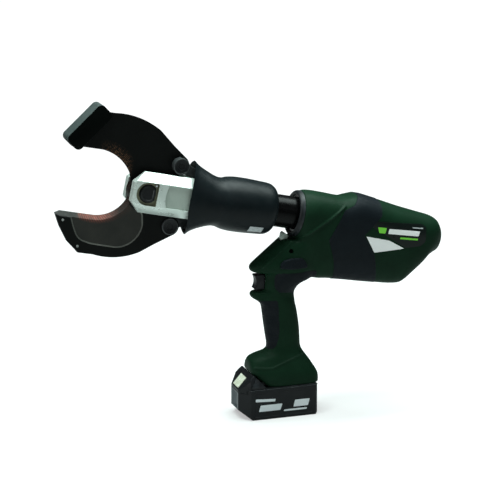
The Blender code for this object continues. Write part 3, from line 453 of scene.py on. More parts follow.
FINISHES = {  # two colours that noise mixes, range of roughness, and what isn't as usual
    "green": ((0.0040, 0.0170, 0.0082), (0.0062, 0.0250, 0.0125), (0.40, 0.54),
        dict(grain=1500.0, bump=0.22, wear=(0.022, 0.052, 0.034), specular=0.05)),
    "grip": ((0.0028, 0.0052, 0.0070), (0.0048, 0.0082, 0.0105), (0.62, 0.78),
        dict(grain=1900.0, bump=0.5, wear=(0.014, 0.019, 0.022), specular=0.14)),
    "band": ((0.0030, 0.0056, 0.0078), (0.0052, 0.0092, 0.0122), (0.50, 0.64),
        dict(grain=1900.0, bump=0.45, wear=(0.015, 0.020, 0.024), specular=0.1)),
    "black": ((0.0034, 0.0046, 0.0058), (0.0062, 0.0080, 0.0094), (0.36, 0.5),
        dict(grain=1500.0, bump=0.2, wear=(0.024, 0.030, 0.034), specular=0.22)),
    # lighter strip on the battery's top edges: a painted highlight
    "edge_painted_highlight": ((0.045, 0.055, 0.060), (0.085, 0.098, 0.105), (0.3, 0.44),
        dict(grain=1500.0, bump=0.15, wear=(0.07, 0.076, 0.08))),
    # lighter blue-grey for the finger scoop in the battery's front: painted light
    "recess": ((0.058, 0.074, 0.082), (0.086, 0.106, 0.116), (0.4, 0.55),
        dict(grain=1500.0, bump=0.2, wear=(0.12, 0.14, 0.15))),
    "boot": ((0.0018, 0.0046, 0.0058), (0.0033, 0.0070, 0.0084), (0.36, 0.48),
        dict(grain=1200.0, bump=0.22, wear=(0.012, 0.019, 0.023), specular=0.15)),
    # the blade flats carry the brown hatch, whose tint is a painted reflection
    "blade": ((0.0020, 0.0026, 0.0023), (0.0034, 0.0042, 0.0038), (0.40, 0.50),
        dict(grain=1100.0, bump=0.2, specular=0.1, extra=BROWN_RUBS_AND_PAINTED_REFLECTION)),
    # the sunk panel and the ground edge carry the copper hatch, whose tint is a painted reflection
    "relief": ((0.0090, 0.0100, 0.0080), (0.0190, 0.0195, 0.0155), (0.42, 0.58),
        dict(grain=420.0, brushed=(6.0, 1.0, 0.5), bump=0.3, specular=0.3, extra=COPPER_RUBS_AND_PAINTED_REFLECTION)),
    "edge": ((0.0080, 0.0088, 0.0076), (0.022, 0.022, 0.019), (0.40, 0.52),
        dict(metal=0.2, grain=700.0, brushed=(5.0, 1.0, 0.6), bump=0.3, specular=0.2, extra=COPPER_RUBS_AND_PAINTED_REFLECTION)),
    # light line on the sloping wall of the lower blade's sunk panel: a painted highlight
    "rim": ((0.060, 0.066, 0.058), (0.115, 0.12, 0.105), (0.3, 0.42),
        dict(metal=0.3, grain=900.0, bump=0.15)),
    "pin": ((0.0026, 0.0034, 0.0040), (0.0056, 0.0070, 0.0080), (0.3, 0.45),
        dict(grain=1300.0, bump=0.15, wear=(0.07, 0.08, 0.08), specular=0.25)),
    "guide": ((0.0004, 0.0012, 0.0009), (0.0010, 0.0020, 0.0016), (0.44, 0.58),
        dict(grain=1300.0, bump=0.15, specular=0.04)),
    "rivet": ((0.22, 0.24, 0.23), (0.38, 0.40, 0.38), (0.34, 0.46),
        dict(metal=0.2, grain=1300.0, bump=0.1)),
    # light ring on the rounded rim of the pin heads: a painted highlight
    "pin_painted_highlight": ((0.030, 0.034, 0.036), (0.070, 0.076, 0.078), (0.28, 0.4),
        dict(metal=0.3, grain=1300.0, bump=0.1)),
    "alloy": ((0.60, 0.70, 0.65), (0.74, 0.83, 0.78), (0.24, 0.34),
        dict(metal=0.45, blotch=26.0, grain=520.0, brushed=(0.5, 1.0, 5.0), bump=0.05)),
    # darker, rougher copy of the alloy for the rear recess floors and the slot's side walls: painted shade
    "alloy_painted_shade": ((0.36, 0.44, 0.39), (0.48, 0.56, 0.50), (0.42, 0.55),
        dict(metal=0.25, blotch=40.0, grain=420.0, brushed=(0.8, 1.0, 6.0), bump=0.2)),
    "olive": ((0.15, 0.155, 0.105), (0.26, 0.27, 0.18), (0.45, 0.6),
        dict(metal=0.3, blotch=60.0, grain=600.0, bump=0.2)),
    "steel": ((0.42, 0.43, 0.44), (0.56, 0.57, 0.58), (0.2, 0.34),
        dict(metal=0.95, blotch=60.0, grain=800.0, bump=0.1)),
    "grey_face": ((0.030, 0.042, 0.041), (0.044, 0.058, 0.056), (0.5, 0.62),
        dict(grain=900.0, bump=0.2, specular=0.2)),
    "gloss": ((0.0010, 0.0011, 0.0012), (0.0018, 0.0020, 0.0022), (0.24, 0.32),
        dict(grain=900.0, bump=0.05, specular=0.1)),
    "ring": ((0.50, 0.53, 0.53), (0.66, 0.69, 0.69), (0.2, 0.32), dict(metal=0.35, grain=900.0, bump=0.08)),
    "bronze": ((0.30, 0.19, 0.06), (0.44, 0.29, 0.10), (0.3, 0.45), dict(metal=0.9, bump=0.1)),
    "cast": ((0.16, 0.165, 0.17), (0.25, 0.255, 0.26), (0.45, 0.62), dict(metal=0.7, bump=0.3)),
    "rubber": ((0.006, 0.0065, 0.007), (0.012, 0.0125, 0.013), (0.6, 0.78), dict(bump=0.3)),
    "lens": ((0.26, 0.34, 0.29), (0.42, 0.52, 0.46), (0.12, 0.2), dict(bump=0.04, coat=0.4)),
    "copper": ((0.26, 0.10, 0.035), (0.42, 0.18, 0.07), (0.3, 0.45),
        dict(metal=0.85, grain=500.0, brushed=(0.4, 1.0, 5.0), bump=0.4)),
    "circuit": ((0.008, 0.07, 0.03), (0.014, 0.12, 0.05), (0.35, 0.5),
        dict(bump=0.1, speckle=(0.3, 0.25, 0.1))),
    "cell": ((0.06, 0.18, 0.30), (0.1, 0.27, 0.42), (0.3, 0.42), dict(bump=0.08)),
    "latch": ((0.50, 0.54, 0.39), (0.62, 0.65, 0.49), (0.42, 0.56),
        dict(grain=1400.0, bump=0.2, wear=(0.8, 0.86, 0.76))),
    "amber": ((0.40, 0.26, 0.02), (0.52, 0.34, 0.03), (0.4, 0.55), dict(bump=0.2)),
    "panel": ((0.0030, 0.0060, 0.0052), (0.0052, 0.0092, 0.0080), (0.26, 0.36),
        dict(bump=0.04, grain=1500.0, specular=0.2)),
    "white": ((0.90, 0.93, 0.92), (0.95, 0.97, 0.96), (0.3, 0.42),
        dict(bump=0.04, grain=1500.0, speckle=(0.84, 0.88, 0.87))),
    "lime": ((0.15, 0.62, 0.03), (0.20, 0.72, 0.05), (0.3, 0.42), dict(bump=0.04, grain=1500.0)),
    "print": ((0.62, 0.70, 0.73), (0.80, 0.86, 0.88), (0.35, 0.48),
        dict(bump=0.04, grain=1500.0, speckle=(0.4, 0.45, 0.47))),
    "grey_label": ((0.30, 0.33, 0.34), (0.60, 0.64, 0.65), (0.35, 0.5), dict(bump=0.04, blotch=260.0)),
}
MAT = {key: finish_of(key, *row[:3], **row[3]) for key, row in FINISHES.items()}


def done(obj, name, body, mats, nodes=(), slot=None, at=TOOL, angle=32.0, pick=None):
    """Names the piece, shades it, gives it its materials and lets it ride on its body."""
    mesh = tidy(obj).data
    mesh.materials.clear()
    for key in mats:
        mesh.materials.append(MAT[key])
    for face in mesh.polygons:
        face.material_index = pick(face.center / MM, face.normal) if pick else 0
    mesh.transform(at)
    mesh.polygons.foreach_set("use_smooth", [True] * len(mesh.polygons))
    mesh.set_sharp_from_angle(angle=radians(angle))
    obj.name = name
    mesh.name = name
    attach(obj, body)
    if nodes:
        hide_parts(*nodes)
    return obj


# ---------------------------------------------------------------- blades
GRIND = 7.0                    # width of the ground edge
RELIEF_DEPTH, RELIEF_RUN = 1.1, 2.1     # sunk panel of the lower blade and its sloping rim
TIP_HOLES = [(121.8, -61.0), (91.5, -98.4)]
UPPER_EDGE = arc((29.0, 24.5), (45.5, 42.0), (78.0, 54.0), 36) + [(97.0, 53.8)]
UPPER_REST = (
    [(121.0, 53.5), (134.5, 64.0), (97.5, 116.8), (86.0, 111.4)]
    + arc((66.0, 111.8), (22.0, 109.0), (-8.0, 97.0), 24) + [(-34.5, 76.2)]
    + circle(-ARM, ARM, EYE_R, 118, 262, 24) + circle(0.0, 0.0, HUB_R, 205, 385, 36)
)
LOWER_EDGE = arc((28.5, -19.0), (44.0, -37.5), (76.0, -48.0), 36) + [(100.0, -48.2), (128.0, -48.1)]
LOWER_REST = (
    [(135.5, -52.5), (125.1, -71.6), (109.0, -93.3)] + circle(88.0, -104.0, 4.5, -35, -90, 6)
    + arc((64.6, -108.3), (25.0, -107.5), (-8.4, -95.0), 24) + [(-28.6, -80.0)]
    + circle(-ARM, -ARM, EYE_R, 242, 98, 24) + circle(0.0, 0.0, HUB_R, 155, -25, 36)
)
RELIEF = (
    [(112.0, -53.0), (104.1, -70.2), (96.5, -83.5), (88.0, -89.5), (72.0, -92.8)]
    + arc((33.0, -93.3), (4.5, -79.0), (-5.4, -52.0), 20)
    + [(-1.5, -33.0), (16.0, -26.0), (30.0, -12.0), (60.0, -20.0), (112.0, -40.0)]
)


def blade(name, edge, rest, side):
    inner = []
    for i, (a, b) in enumerate(edge):
        p, q = edge[max(i - 1, 0)], edge[min(i + 1, len(edge) - 1)]
        tangent = Vector((q[0] - p[0], q[1] - p[1])).normalized()
        normal = Vector((-tangent.y, tangent.x)) * (1 if edge[-1][1] > 0 else -1)
        inner.append((a + normal.x * GRIND, b + normal.y * GRIND))
    whole = edge + rest
    tight = shrunk(inner + rest, 0.6)
    body = loft(name, [
        [(a, side * NEAR0, b) for a, b in whole], [(a, side * (NEAR0 + 0.8), b) for a, b in whole],
        [(a, side * (NEAR1 - 0.6), b) for a, b in inner + rest], [(a, side * NEAR1, b) for a, b in tight]])
    return cut(body, drill(0, 0, BOLT_R + GAP), drill(-ARM, -side * ARM, PIN_R + GAP))


def lower_faces(c, n):
    """Number of the face's material in blade, relief, edge, rim."""
    floor = NEAR1 - RELIEF_DEPTH
    if n.y > 0.9 and abs(c.y - floor) < 0.2:
        return 1
    # the sunk panel's sloping wall is coloured lighter: a painted highlight
    if 0.3 < n.y < 0.95 and floor < c.y < NEAR1 - 0.1 and -96 < c.z < -30 and -8 < c.x < 115:
        return 3
    if 0.1 < n.y < 0.93 and c.z > -58 and c.x > 20 and c.y < NEAR1 - 0.7:
        return 2
    return 0


lower = blade("lower", LOWER_EDGE, LOWER_REST, 1)
lower = cut(lower, layered("sunk", softened(RELIEF, 5.0, 4), (
    (NEAR1 - RELIEF_DEPTH, RELIEF_RUN), (NEAR1, 0.0), (NEAR1 + 3, 0.0))))
for x, z in TIP_HOLES:
    lower = cut(lower, drill(x, z, 1.5, NEAR1 - 4, NEAR1 + 3, 32))
done(lower, "lower_blade_look", "lower_jaw", ["blade", "relief", "edge", "rim"], ["lower_blade"],
     "blade_steel", HEAD, 25, lower_faces)
for i, (x, z) in enumerate(TIP_HOLES, 1):
    rivet = turned("rivet", [
        (0, NEAR1 - 3.6), (1.2, NEAR1 - 3.6), (1.2, NEAR1 + GAP), (2.0, NEAR1 + GAP), (1.9, NEAR1 + 0.6),
        (1.5, NEAR1 + 0.9), (0.8, NEAR1 + 1.05), (0, NEAR1 + 1.1)], "y", 32, (x, 0, z))
    done(rivet, f"blade_rivet_look_{i}", "lower_jaw", ["rivet"], [f"lower_blade_rivet_{i}"],
         "bright_steel", HEAD)

# The channel on the upper blade's tip is drawn upright, with n as its depth and t as its length, then turned.
GUIDE_TURN = Matrix.Rotation(-radians(35.6), 4, "Y")
GUIDE_N, GUIDE_W, GUIDE_T0, GUIDE_T1, GUIDE_Y = 124.3, 29.0, -31.0, 45.6, 18.0
GUIDE_WALL = 5.0
GUIDE_PINS, GUIDE_PIN_R = [(133.5, -12.0), (133.5, 26.0)], 3.0
upper = blade("upper", UPPER_EDGE, UPPER_REST, -1)
guide = layered("guide", round_box(GUIDE_N, GUIDE_N + GUIDE_W, GUIDE_T0, GUIDE_T1, 8.0, 12), (
    (-GUIDE_Y, 1.6), (-GUIDE_Y + 0.5, 0.5), (-GUIDE_Y + 1.6, 0.0),
    (GUIDE_Y - 1.6, 0.0), (GUIDE_Y - 0.5, 0.5), (GUIDE_Y, 1.6)))
guide = cut(guide, block("cut", GUIDE_N - 10, GUIDE_N + GUIDE_W - GUIDE_WALL, -NEAR1 - 0.9, NEAR1 + 1.7,
                         GUIDE_T0 - 9, GUIDE_T1 + 9))
for n, t in GUIDE_PINS:
    guide = cut(guide, drill(n, t, GUIDE_PIN_R + GAP, y1=2, sides=32))
    upper = cut(upper, moved(drill(n, t, GUIDE_PIN_R + GAP, y1=2, sides=32), GUIDE_TURN))
done(moved(guide, GUIDE_TURN), "tip_guide_look", "upper_jaw", ["guide", "grey_face"], ["blade_tip_guide"],
     "black_plastic", HEAD, 40,
     lambda c, n: int(abs(n.y) < 0.5 and (GUIDE_TURN.inverted().to_3x3() @ n).x > 0.3))
done(upper, "upper_blade_look", "upper_jaw", ["blade", "edge"], ["upper_blade"], "blade_steel", HEAD, 25,
     lambda c, n: int(0.1 < abs(n.y) < 0.93 and c.z < 62 and c.x > 20 and c.y > -NEAR1 + 0.7))

# ---------------------------------------------------------------- links and pins
LINK_NECK = 7.6                # half width of a link between its eyes
link_angle = atan2(ARM - CROSS_W, -ARM - CROSS_U)
for name, sign in (("upper", 1), ("lower", -1)):
    shape = circle(0.0, 0.0, 13.0, -62, 62, 24) + [(-18.0, LINK_NECK), (-LINK_L + 16.0, LINK_NECK)]
    shape += circle(-LINK_L, 0.0, 10.4, 118, 242, 24) + [(-LINK_L + 16.0, -LINK_NECK), (-18.0, -LINK_NECK)]
    bar = layered("bar", shape, ((NEAR0, 0.4), (NEAR0 + 0.4, 0.0), (NEAR1 - 0.6, 0.0), (NEAR1, 0.6)), sign)
    bar = cut(bar, drill(0, 0, PIN_R + GAP), drill(-LINK_L, 0, PIN_R + GAP))
    place = Matrix.Translation((-ARM * MM, 0, sign * ARM * MM)) @ Matrix.Rotation(-sign * link_angle, 4, "Y")
    done(moved(bar, place), name + "_link_look", name + "_link_bar", ["pin"], [name + "_link"],
         "blade_steel", HEAD)
    pin = turned("pin", [
        (0, -NEAR1 - 1.3), (6.2, -NEAR1 - 1.3), (PIN_R, -NEAR1 - 0.6), (PIN_R, NEAR1 + GAP),
        (12.7, NEAR1 + GAP), (13.0, NEAR1 + 0.6), (13.0, NEAR1 + 3.4), (12.7, NEAR1 + 4.1),
        (12.0, NEAR1 + 4.55), (11.4, NEAR1 + 4.6), (10.8, NEAR1 + 4.5), (10.4, NEAR1 + 4.0),
        (9.6, NEAR1 + 3.7), (6.4, NEAR1 + 3.6), (5.6, NEAR1 + 3.1), (5.2, NEAR1 + 2.0), (0, NEAR1 + 1.8)
    ], "y", 72, (-ARM, 0, sign * ARM))

    def pin_faces(c, n, w=sign * ARM):
        # the rounded rim of the head is coloured lighter: a painted highlight
        return int(c.y > NEAR1 + 3.4 and 11.6 < hypot(c.x + ARM, c.z - w) < 12.9)

    done(pin, name + "_link_pin_look", name + "_jaw", ["pin", "pin_painted_highlight"], [name + "_link_pin"], "black_steel",
         HEAD, 30, pin_faces)

# ---------------------------------------------------------------- yoke, pivot bolt and nut
D_DEPTH, REAR_DEPTH = 5.5, 2.2         # milled recesses round the bolt head and behind it
LOCK = (-10.9, 14.8)                   # screw that locks the bolt head
d_recess = [(-14.2, -18.0), (3.0, -18.0)] + circle(2.0, 0.0, 18.0, -70, 70, 28) + [(3.0, 18.0), (-14.2, 18.0)]
rear_recess = arc((-31.0, -18.0), (-27.0, 0.0), (-31.0, 18.0), 16) + [(-72.0, 18.0), (-72.0, -18.0)]


def sunk_tool(points, side, depth, slope):
    return layered("sunk", points, ((YOKE_Y - depth, slope), (YOKE_Y, 0.0), (YOKE_Y + 5, 0.0)), side)


def yoke_faces(c, n):
    """Number of the face's material in alloy, alloy_painted_shade, olive."""
    # the rear recess floors are coloured darker: painted shade
    if abs(n.y) > 0.9 and -73 < c.x < -26 and abs(abs(c.y) - YOKE_Y + REAR_DEPTH) < 0.2:
        return 1
    if (YOKE_Y - D_DEPTH - 0.2 < c.y < YOKE_Y - 0.3 and hypot(c.x, c.z) < 23.5 and abs(c.z) < 18.2
            and c.x > -14.4):
        return 2
    # the slot's side walls are coloured darker too: painted shade
    return int(abs(c.y) < SLOT_Y + 0.1 and abs(n.y) > 0.9)


yoke = plate("yoke", [(25.5, -15.5), (25.5, 15.5), (8.5, YOKE_W), (-132.0, YOKE_W), (-132.0, -YOKE_W),
                      (8.5, -YOKE_W)], -YOKE_Y, YOKE_Y)
octagon = [(YOKE_Y, YOKE_W - YOKE_CHAMFER), (YOKE_Y - YOKE_CHAMFER, YOKE_W)]
octagon = octagon + [(-a, b) for a, b in octagon[::-1]]
octagon = octagon + [(-a, -b) for a, b in octagon]
yoke = keep(yoke, loft("bar", [[(u, n, w) for n, w in octagon] for u in (-140.0, 60.0)]))
yoke = rounded(yoke, 0.9, 3, 20)
yoke = join(yoke, turned("cyl", [
    (0, -126), (CYL_R - 3, -126), (CYL_R - 0.9, -127.2), (CYL_R, -129), (CYL_R, CYL_END), (0, CYL_END)
], "x", 96))
yoke = cut(yoke, block("cut", SLOT_END, 60, -SLOT_Y, SLOT_Y, -60, 60),
           rod("cut", (SLOT_END + 3, 0, 0), (CYL_END - 10, 0, 0), BORE_R, 64),
           drill(0, 0, BOLT_R + GAP, sides=64), sunk_tool(d_recess, 1, D_DEPTH, 0.0),
           drill(0, 0, 17.4, -YOKE_Y + D_DEPTH, -YOKE_Y - 5, 64), sunk_tool(rear_recess, 1, REAR_DEPTH, 0.8),
           sunk_tool(rear_recess, -1, REAR_DEPTH, 0.8), drill(*LOCK, 1.9, 15, 60, 24))
done(yoke, "yoke_look", "head", ["alloy", "alloy_painted_shade", "olive"], ["yoke_cylinder"], "yoke_alloy", HEAD, 28,
     yoke_faces)

bolt = layered("bolt", circle(0.0, 0.0, 14.6, 142, -142, 64), (
    (YOKE_Y - 5.2, 0.0), (YOKE_Y - 4.8, 0.0), (YOKE_Y - 4.2, 1.5), (YOKE_Y - 1.9, 1.7), (YOKE_Y - 1.3, 2.1),
    (YOKE_Y - 1.0, 2.9), (YOKE_Y - 1.0, 4.6), (YOKE_Y - 1.5, 5.1)))
bolt = join(bolt, rod("shank", (0, YOKE_Y - 3, 0), (0, -YOKE_Y + 0.2, 0), BOLT_R - 0.2, 56))
done(bolt, "pivot_bolt_look", "head", ["pin"], ["pivot_bolt"], "black_steel", HEAD)
nut = turned("nut", [(0, -YOKE_Y + 5.2), (16.0, -YOKE_Y + 5.2), (16.0, -YOKE_Y + 0.4), (14.8, -YOKE_Y - 0.6),
                     (0, -YOKE_Y - 0.6)], "y", 6)
nut = cut(nut, drill(0, 0, BOLT_R + GAP, y1=0))
done(rounded(nut, 0.4, 2, 25), "pivot_nut_look", "head", ["steel"], ["pivot_nut"], "bright_steel", HEAD)
lock = turned("lock", [
    (0, 17.0), (1.6, 17.0), (1.6, YOKE_Y - 5.2), (2.6, YOKE_Y - 5.2), (2.6, YOKE_Y - 3.9),
    (2.3, YOKE_Y - 3.3), (1.7, YOKE_Y - 3.1), (0, YOKE_Y - 3.1)], "y", 32, (LOCK[0], 0, LOCK[1]))
done(lock, "lock_screw_look", "head", ["steel"], ["pivot_lock_screw"], "bright_steel", HEAD)

neck = turned("neck", [
    (3.0, CYL_END - GAP), (CYL_R - 0.5, CYL_END - GAP), (CYL_R, CYL_END - GAP - 0.5), (CYL_R, CYL_END - 3.0),
    (NECK_R, CYL_END - 3.0), (NECK_R, NECK_END), (SPIGOT_R, NECK_END), (SPIGOT_R, SPIGOT_END + 12),
    (SPIGOT_R - 2, SPIGOT_END + 12), (SPIGOT_R - 2, SPIGOT_END + 9), (SPIGOT_R, SPIGOT_END + 9),
    (SPIGOT_R, SPIGOT_END), (3.0, SPIGOT_END)], "x", 96)
done(neck, "neck_tube_look", "head", ["gloss"], ["neck_tube"], "cast_alloy", HEAD)

# ---------------------------------------------------------------- rubber boot
BOOT = (  # u of the sides, half height, half width, reach of the lips, extra drop back of the lower lip
    (-66.0, 58.6, 31.2, -5.5, 5.0), (-72.0, 54.2, 31.8, -5.0, 3.5), (-79.0, 50.8, 32.8, -4.0, 2.0),
    (-88.0, 47.4, 34.0, -2.0, 0.8), (-95.0, 45.3, 34.9, 0.0, 0.0), (-104.0, 41.6, 36.4, 0.0, 0.0),
    (-113.0, 38.9, 38.0, 0.0, 0.0), (-121.0, 38.6, 38.6, 0.0, 0.0), (-130.0, 41.2, 41.2, 0.0, 0.0),
    (-143.0, 42.9, 42.9, 0.0, 0.0), (-162.0, 43.1, 43.1, 0.0, 0.0), (-184.0, 42.0, 42.0, 0.0, 0.0),
    (-199.0, 41.0, 41.0, 0.0, 0.0), (-206.0, 38.6, 38.6, 0.0, 0.0), (-210.8, 34.4, 34.4, 0.0, 0.0),
    (-213.6, 28.5, 28.5, 0.0, 0.0))


def boot_ring(u, high, wide, lip, drop, count=112):
    ring = []
    for i in range(count):
        a = 2 * pi * i / count
        reach = lip * sin(a) ** 2 - drop * min(sin(a), 0.0) ** 2
        ring.append((u + reach, wide * cos(a), high * sin(a)))
    return ring


boot_rows = smooth_rows(BOOT, 5)
boot = loft("boot", [boot_ring(*row) for row in boot_rows])
inside = [(u, high - 2.1, wide - 2.1, lip, drop) for u, high, wide, lip, drop in BOOT[:14]]
inside[0] = (BOOT[0][0] + 2.0, BOOT[0][1] - 1.2, BOOT[0][2] - 1.9, BOOT[0][3], BOOT[0][4])
inside = smooth_rows(inside, 3) + [(-209.6, 35.2, 35.2, 0.0, 0.0)]
boot = cut(boot, loft("hollow", [boot_ring(*row) for row in inside]),
           rod("cut", (-200, 0, 0), (-230, 0, 0), NECK_R + GAP, 64))
done(boot, "rubber_boot_look", "head", ["boot"], ["rubber_boot"], "boot_rubber", HEAD, 50)


def boot_sticker(name, u0, u1, a0, a1, mat, steps=8, cols=24):
    """Thin sticker that follows the boot from u0 to u1 and from angle a0 to a1."""
    rings = []
    for k in range(steps + 1):
        u = u0 + (u1 - u0) * k / steps
        high = float(np.interp(-u, [-row[0] for row in boot_rows], [row[1] for row in boot_rows]))
        rings.append([(u, b, c) for b, c in circle(0.0, 0.0, high + 0.02, a0, a1, cols)
                      + circle(0.0, 0.0, high + 0.28, a1, a0, cols)])
    done(loft(name, rings), name, "head", [mat], at=HEAD)


boot_sticker("boot_sticker", -170.0, -193.0, -37.0, -56.0, "grey_label")

# ---------------------------------------------------------------- housing
BARREL = (  # u, top, bottom, half width, fullness
    (-256.0, 37.0, -37.0, 37.0, 2.0), (-258.5, 38.4, -40.0, 38.4, 2.0), (-266.0, 39.4, -60.0, 39.0, 2.2),
    (-278.0, 39.7, -86.0, 39.2, 2.4), (-301.0, 38.9, -99.0, 39.3, 2.5), (-322.0, 38.2, -97.4, 39.4, 2.5),
    (-333.0, 42.0, -96.5, 40.2, 2.5), (-345.0, 45.8, -95.6, 41.0, 2.5), (-357.0, 46.2, -95.0, 41.2, 2.5),
    (-380.0, 43.1, -94.2, 41.0, 2.5), (-404.0, 39.4, -93.0, 40.4, 2.5), (-427.0, 35.8, -92.0, 39.4, 2.5),
    (-446.5, 33.4, -89.5, 38.2, 2.5), (-455.6, 32.3, -84.8, 37.6, 2.5), (-467.5, 31.0, -70.1, 36.6, 2.5),
    (-481.1, 29.4, -51.7, 34.6, 2.5), (-489.0, 27.6, -38.0, 32.0, 2.5), (-497.0, 23.4, -31.5, 27.5, 2.4),
    (-505.0, 13.5, -26.0, 20.0, 2.2), (-509.0, 3.0, -16.0, 11.0, 2.0))
HANDLE = (  # z, front x, rear x, half width, fullness
    (52.0, -28.0, 63.4, 36.0, 5.0), (58.0, -34.0, 63.9, 36.0, 5.0), (66.0, -42.5, 63.2, 35.6, 5.0),
    (74.0, -50.0, 59.6, 34.4, 4.5), (81.0, -50.6, 55.4, 32.0, 4.0), (88.0, -49.6, 51.2, 28.8, 3.6),
    (93.5, -47.0, 47.4, 26.0, 3.2), (98.0, -38.0, 44.2, 23.4, 3.0), (102.0, -25.0, 41.6, 21.4, 2.8),
    (107.0, -18.6, 39.2, 20.0, 2.6), (114.0, -17.0, 37.6, 19.0, 2.6), (132.0, -19.8, 36.8, 18.6, 2.6),
    (152.0, -22.8, 34.8, 18.6, 2.6), (172.0, -25.4, 31.4, 18.6, 2.6), (182.0, -27.6, 28.9, 18.6, 2.6),
    (188.0, -33.5, 28.2, 18.6, 2.6), (194.0, -42.5, 27.6, 18.4, 2.5), (199.0, -46.0, 27.5, 18.4, 2.5),
    (203.5, -45.2, 29.0, 19.0, 2.5), (206.5, -27.0, 30.4, 20.0, 2.5), (212.0, -25.6, 34.5, 22.0, 2.4),
    (217.0, -25.2, 43.0, 23.5, 2.4), (221.0, -24.8, 54.0, 25.0, 2.3), (233.5, -24.6, 70.0, 27.0, 2.2),
    (236.5, -42.0, 80.0, 27.0, 2.2), (240.5, -47.0, 90.0, 28.5, 2.2), (246.0, -47.4, 96.0, 30.0, 2.2),
    (251.0, -43.0, 100.0, 31.0, 2.1), (262.0, -29.0, 104.0, 32.5, 2.1), (273.0, -15.0, 106.0, 33.6, 2.1),
    (283.0, -2.0, 108.0, 34.2, 2.1), (288.5, 4.0, 106.0, 32.0, 2.1))
HOLLOW_HANDLE = (
    (58.5, -29.0, 60.6, 33.0, 5.0), (66.0, -37.0, 60.0, 32.6, 5.0), (74.0, -44.0, 56.6, 31.2, 4.5),
    (86.0, -44.0, 49.2, 26.6, 3.8), (92.0, -38.0, 45.0, 23.4, 3.2), (101.0, -18.0, 38.6, 18.6, 2.8),
    (108.0, -15.0, 36.0, 16.8, 2.6), (132.0, -17.0, 34.0, 16.0, 2.6), (172.0, -22.4, 28.6, 16.0, 2.6),
    (190.0, -22.6, 25.2, 16.0, 2.6), (205.0, -22.0, 26.4, 16.8, 2.5), (214.0, -21.6, 33.0, 19.6, 2.4),
    (224.0, -21.4, 52.0, 22.6, 2.3), (234.0, -21.4, 66.0, 24.6, 2.2), (242.5, -40.0, 80.0, 25.6, 2.2),
    (247.0, -41.0, 90.0, 27.0, 2.2), (252.0, -36.0, 96.0, 28.0, 2.1), (262.0, -23.0, 100.0, 29.5, 2.1),
    (273.0, -9.0, 102.0, 30.6, 2.1), (280.0, 1.0, 102.0, 30.6, 2.1), (284.0, 20.0, 102.0, 30.0, 2.1))
POSTS = (  # x and z of the screws, and the way along y that their tips point
    (14.0, 272.5, 1), (4.0, 92.0, -1), (8.0, 183.0, -1), (90.0, 238.0, -1), (204.0, 222.0, -1),
    (262.0, 272.0, -1))
BUTTON = [(-5.0, 245.5), (-4.0, 253.5), (1.0, 258.5), (13.4, 261.9), (30.0, 261.6), (36.0, 257.0),
          (40.4, 247.5), (38.6, 244.0), (15.0, 242.6)]
BAND = [(134.0, 375.0), (134.0, 356.0), (118.0, 340.0), (101.0, 333.5), (73.5, 288.0), (83.5, 253.0),
        (92.0, 190.0), (166.0, 185.0), (152.0, 259.0), (133.3, 291.7), (165.0, 321.6), (174.0, 375.0)]
BARREL_FINE = smooth_rows(BARREL, 4)
HANDLE_FINE = smooth_rows(HANDLE, 3)
GRID, GRID_STEPS, BLEND_STEPS = 1.25, 4, 26  # voxels of the joined body, and the smoothing that follows
CREASE = [(103, 339), (60, 313), (17, 287), (-30, 247)]
FOOT_RIDGE = [(-46, 83), (-18.5, 81.8), (9, 90.6), (36, 97.6)]
GRIP = softened([(-60, 190.4), (-4.0, 191.9), (-1.8, 158.6), (-1.7, 129.4), (-8.0, 110.5), (-22.8, 106.0),
                 (-60, 106.0)], 8, 5)
WEB = softened([(-10.5, 237.0), (23.2, 236.0), (60.0, 238.0), (60.0, 197.0), (24.0, 196.0), (17.0, 201.0),
                (-4.0, 203.0), (-12.0, 214.0)], 8, 5)
LENS = [(4.6, 284.0), (6.8, 296.0), (9.6, 298.6), (16.6, 293.4), (12.4, 281.2)]


def barrel_ring(station, inset, count=24):
    u, top, bottom, wide, full = station
    top, bottom, wide = top - inset, bottom + inset, wide - inset
    mid = top - min(wide, (top - bottom) / 2)
    ring = []
    for i in range(count):
        a = 2 * pi * (i + 0.5) / count
        rise = top - mid if sin(a) > 0 else mid - bottom
        ring.append((u, wide * power(cos(a), 2 / full), mid + rise * power(sin(a), 2 / full)))
    return ring


def handle_ring(z, front, rear, wide, full, count=18):
    mid, half = (front + rear) / 2, (rear - front) / 2
    ring = []
    for i in range(count):
        a = 2 * pi * (i + 0.5) / count
        ring.append((mid + half * power(cos(a), 2 / full), wide * power(sin(a), 2 / full), z))
    return ring


def barrel_body(name, inset, count=96):
    return moved(loft(name, [barrel_ring(s, inset, count) for s in BARREL_FINE]), HEAD)


outer = join(barrel_body("shell", 0.05), loft("handle", [handle_ring(*s, count=72) for s in HANDLE_FINE]))
mod = outer.modifiers.new("Grid", "REMESH")
mod.mode = "VOXEL"
mod.voxel_size = GRID * MM
mod.adaptivity = 0.0
outer = bake(outer)
mesh = outer.data
count = len(mesh.vertices)
co = np.empty(count * 3)
mesh.vertices.foreach_get("co", co)
co = co.reshape(-1, 3) / MM
pairs = np.empty(len(mesh.edges) * 2, int)
mesh.edges.foreach_get("vertices", pairs)
pairs = pairs.reshape(-1, 2)
degree = np.bincount(pairs.ravel(), minlength=count).astype(float)[:, None]
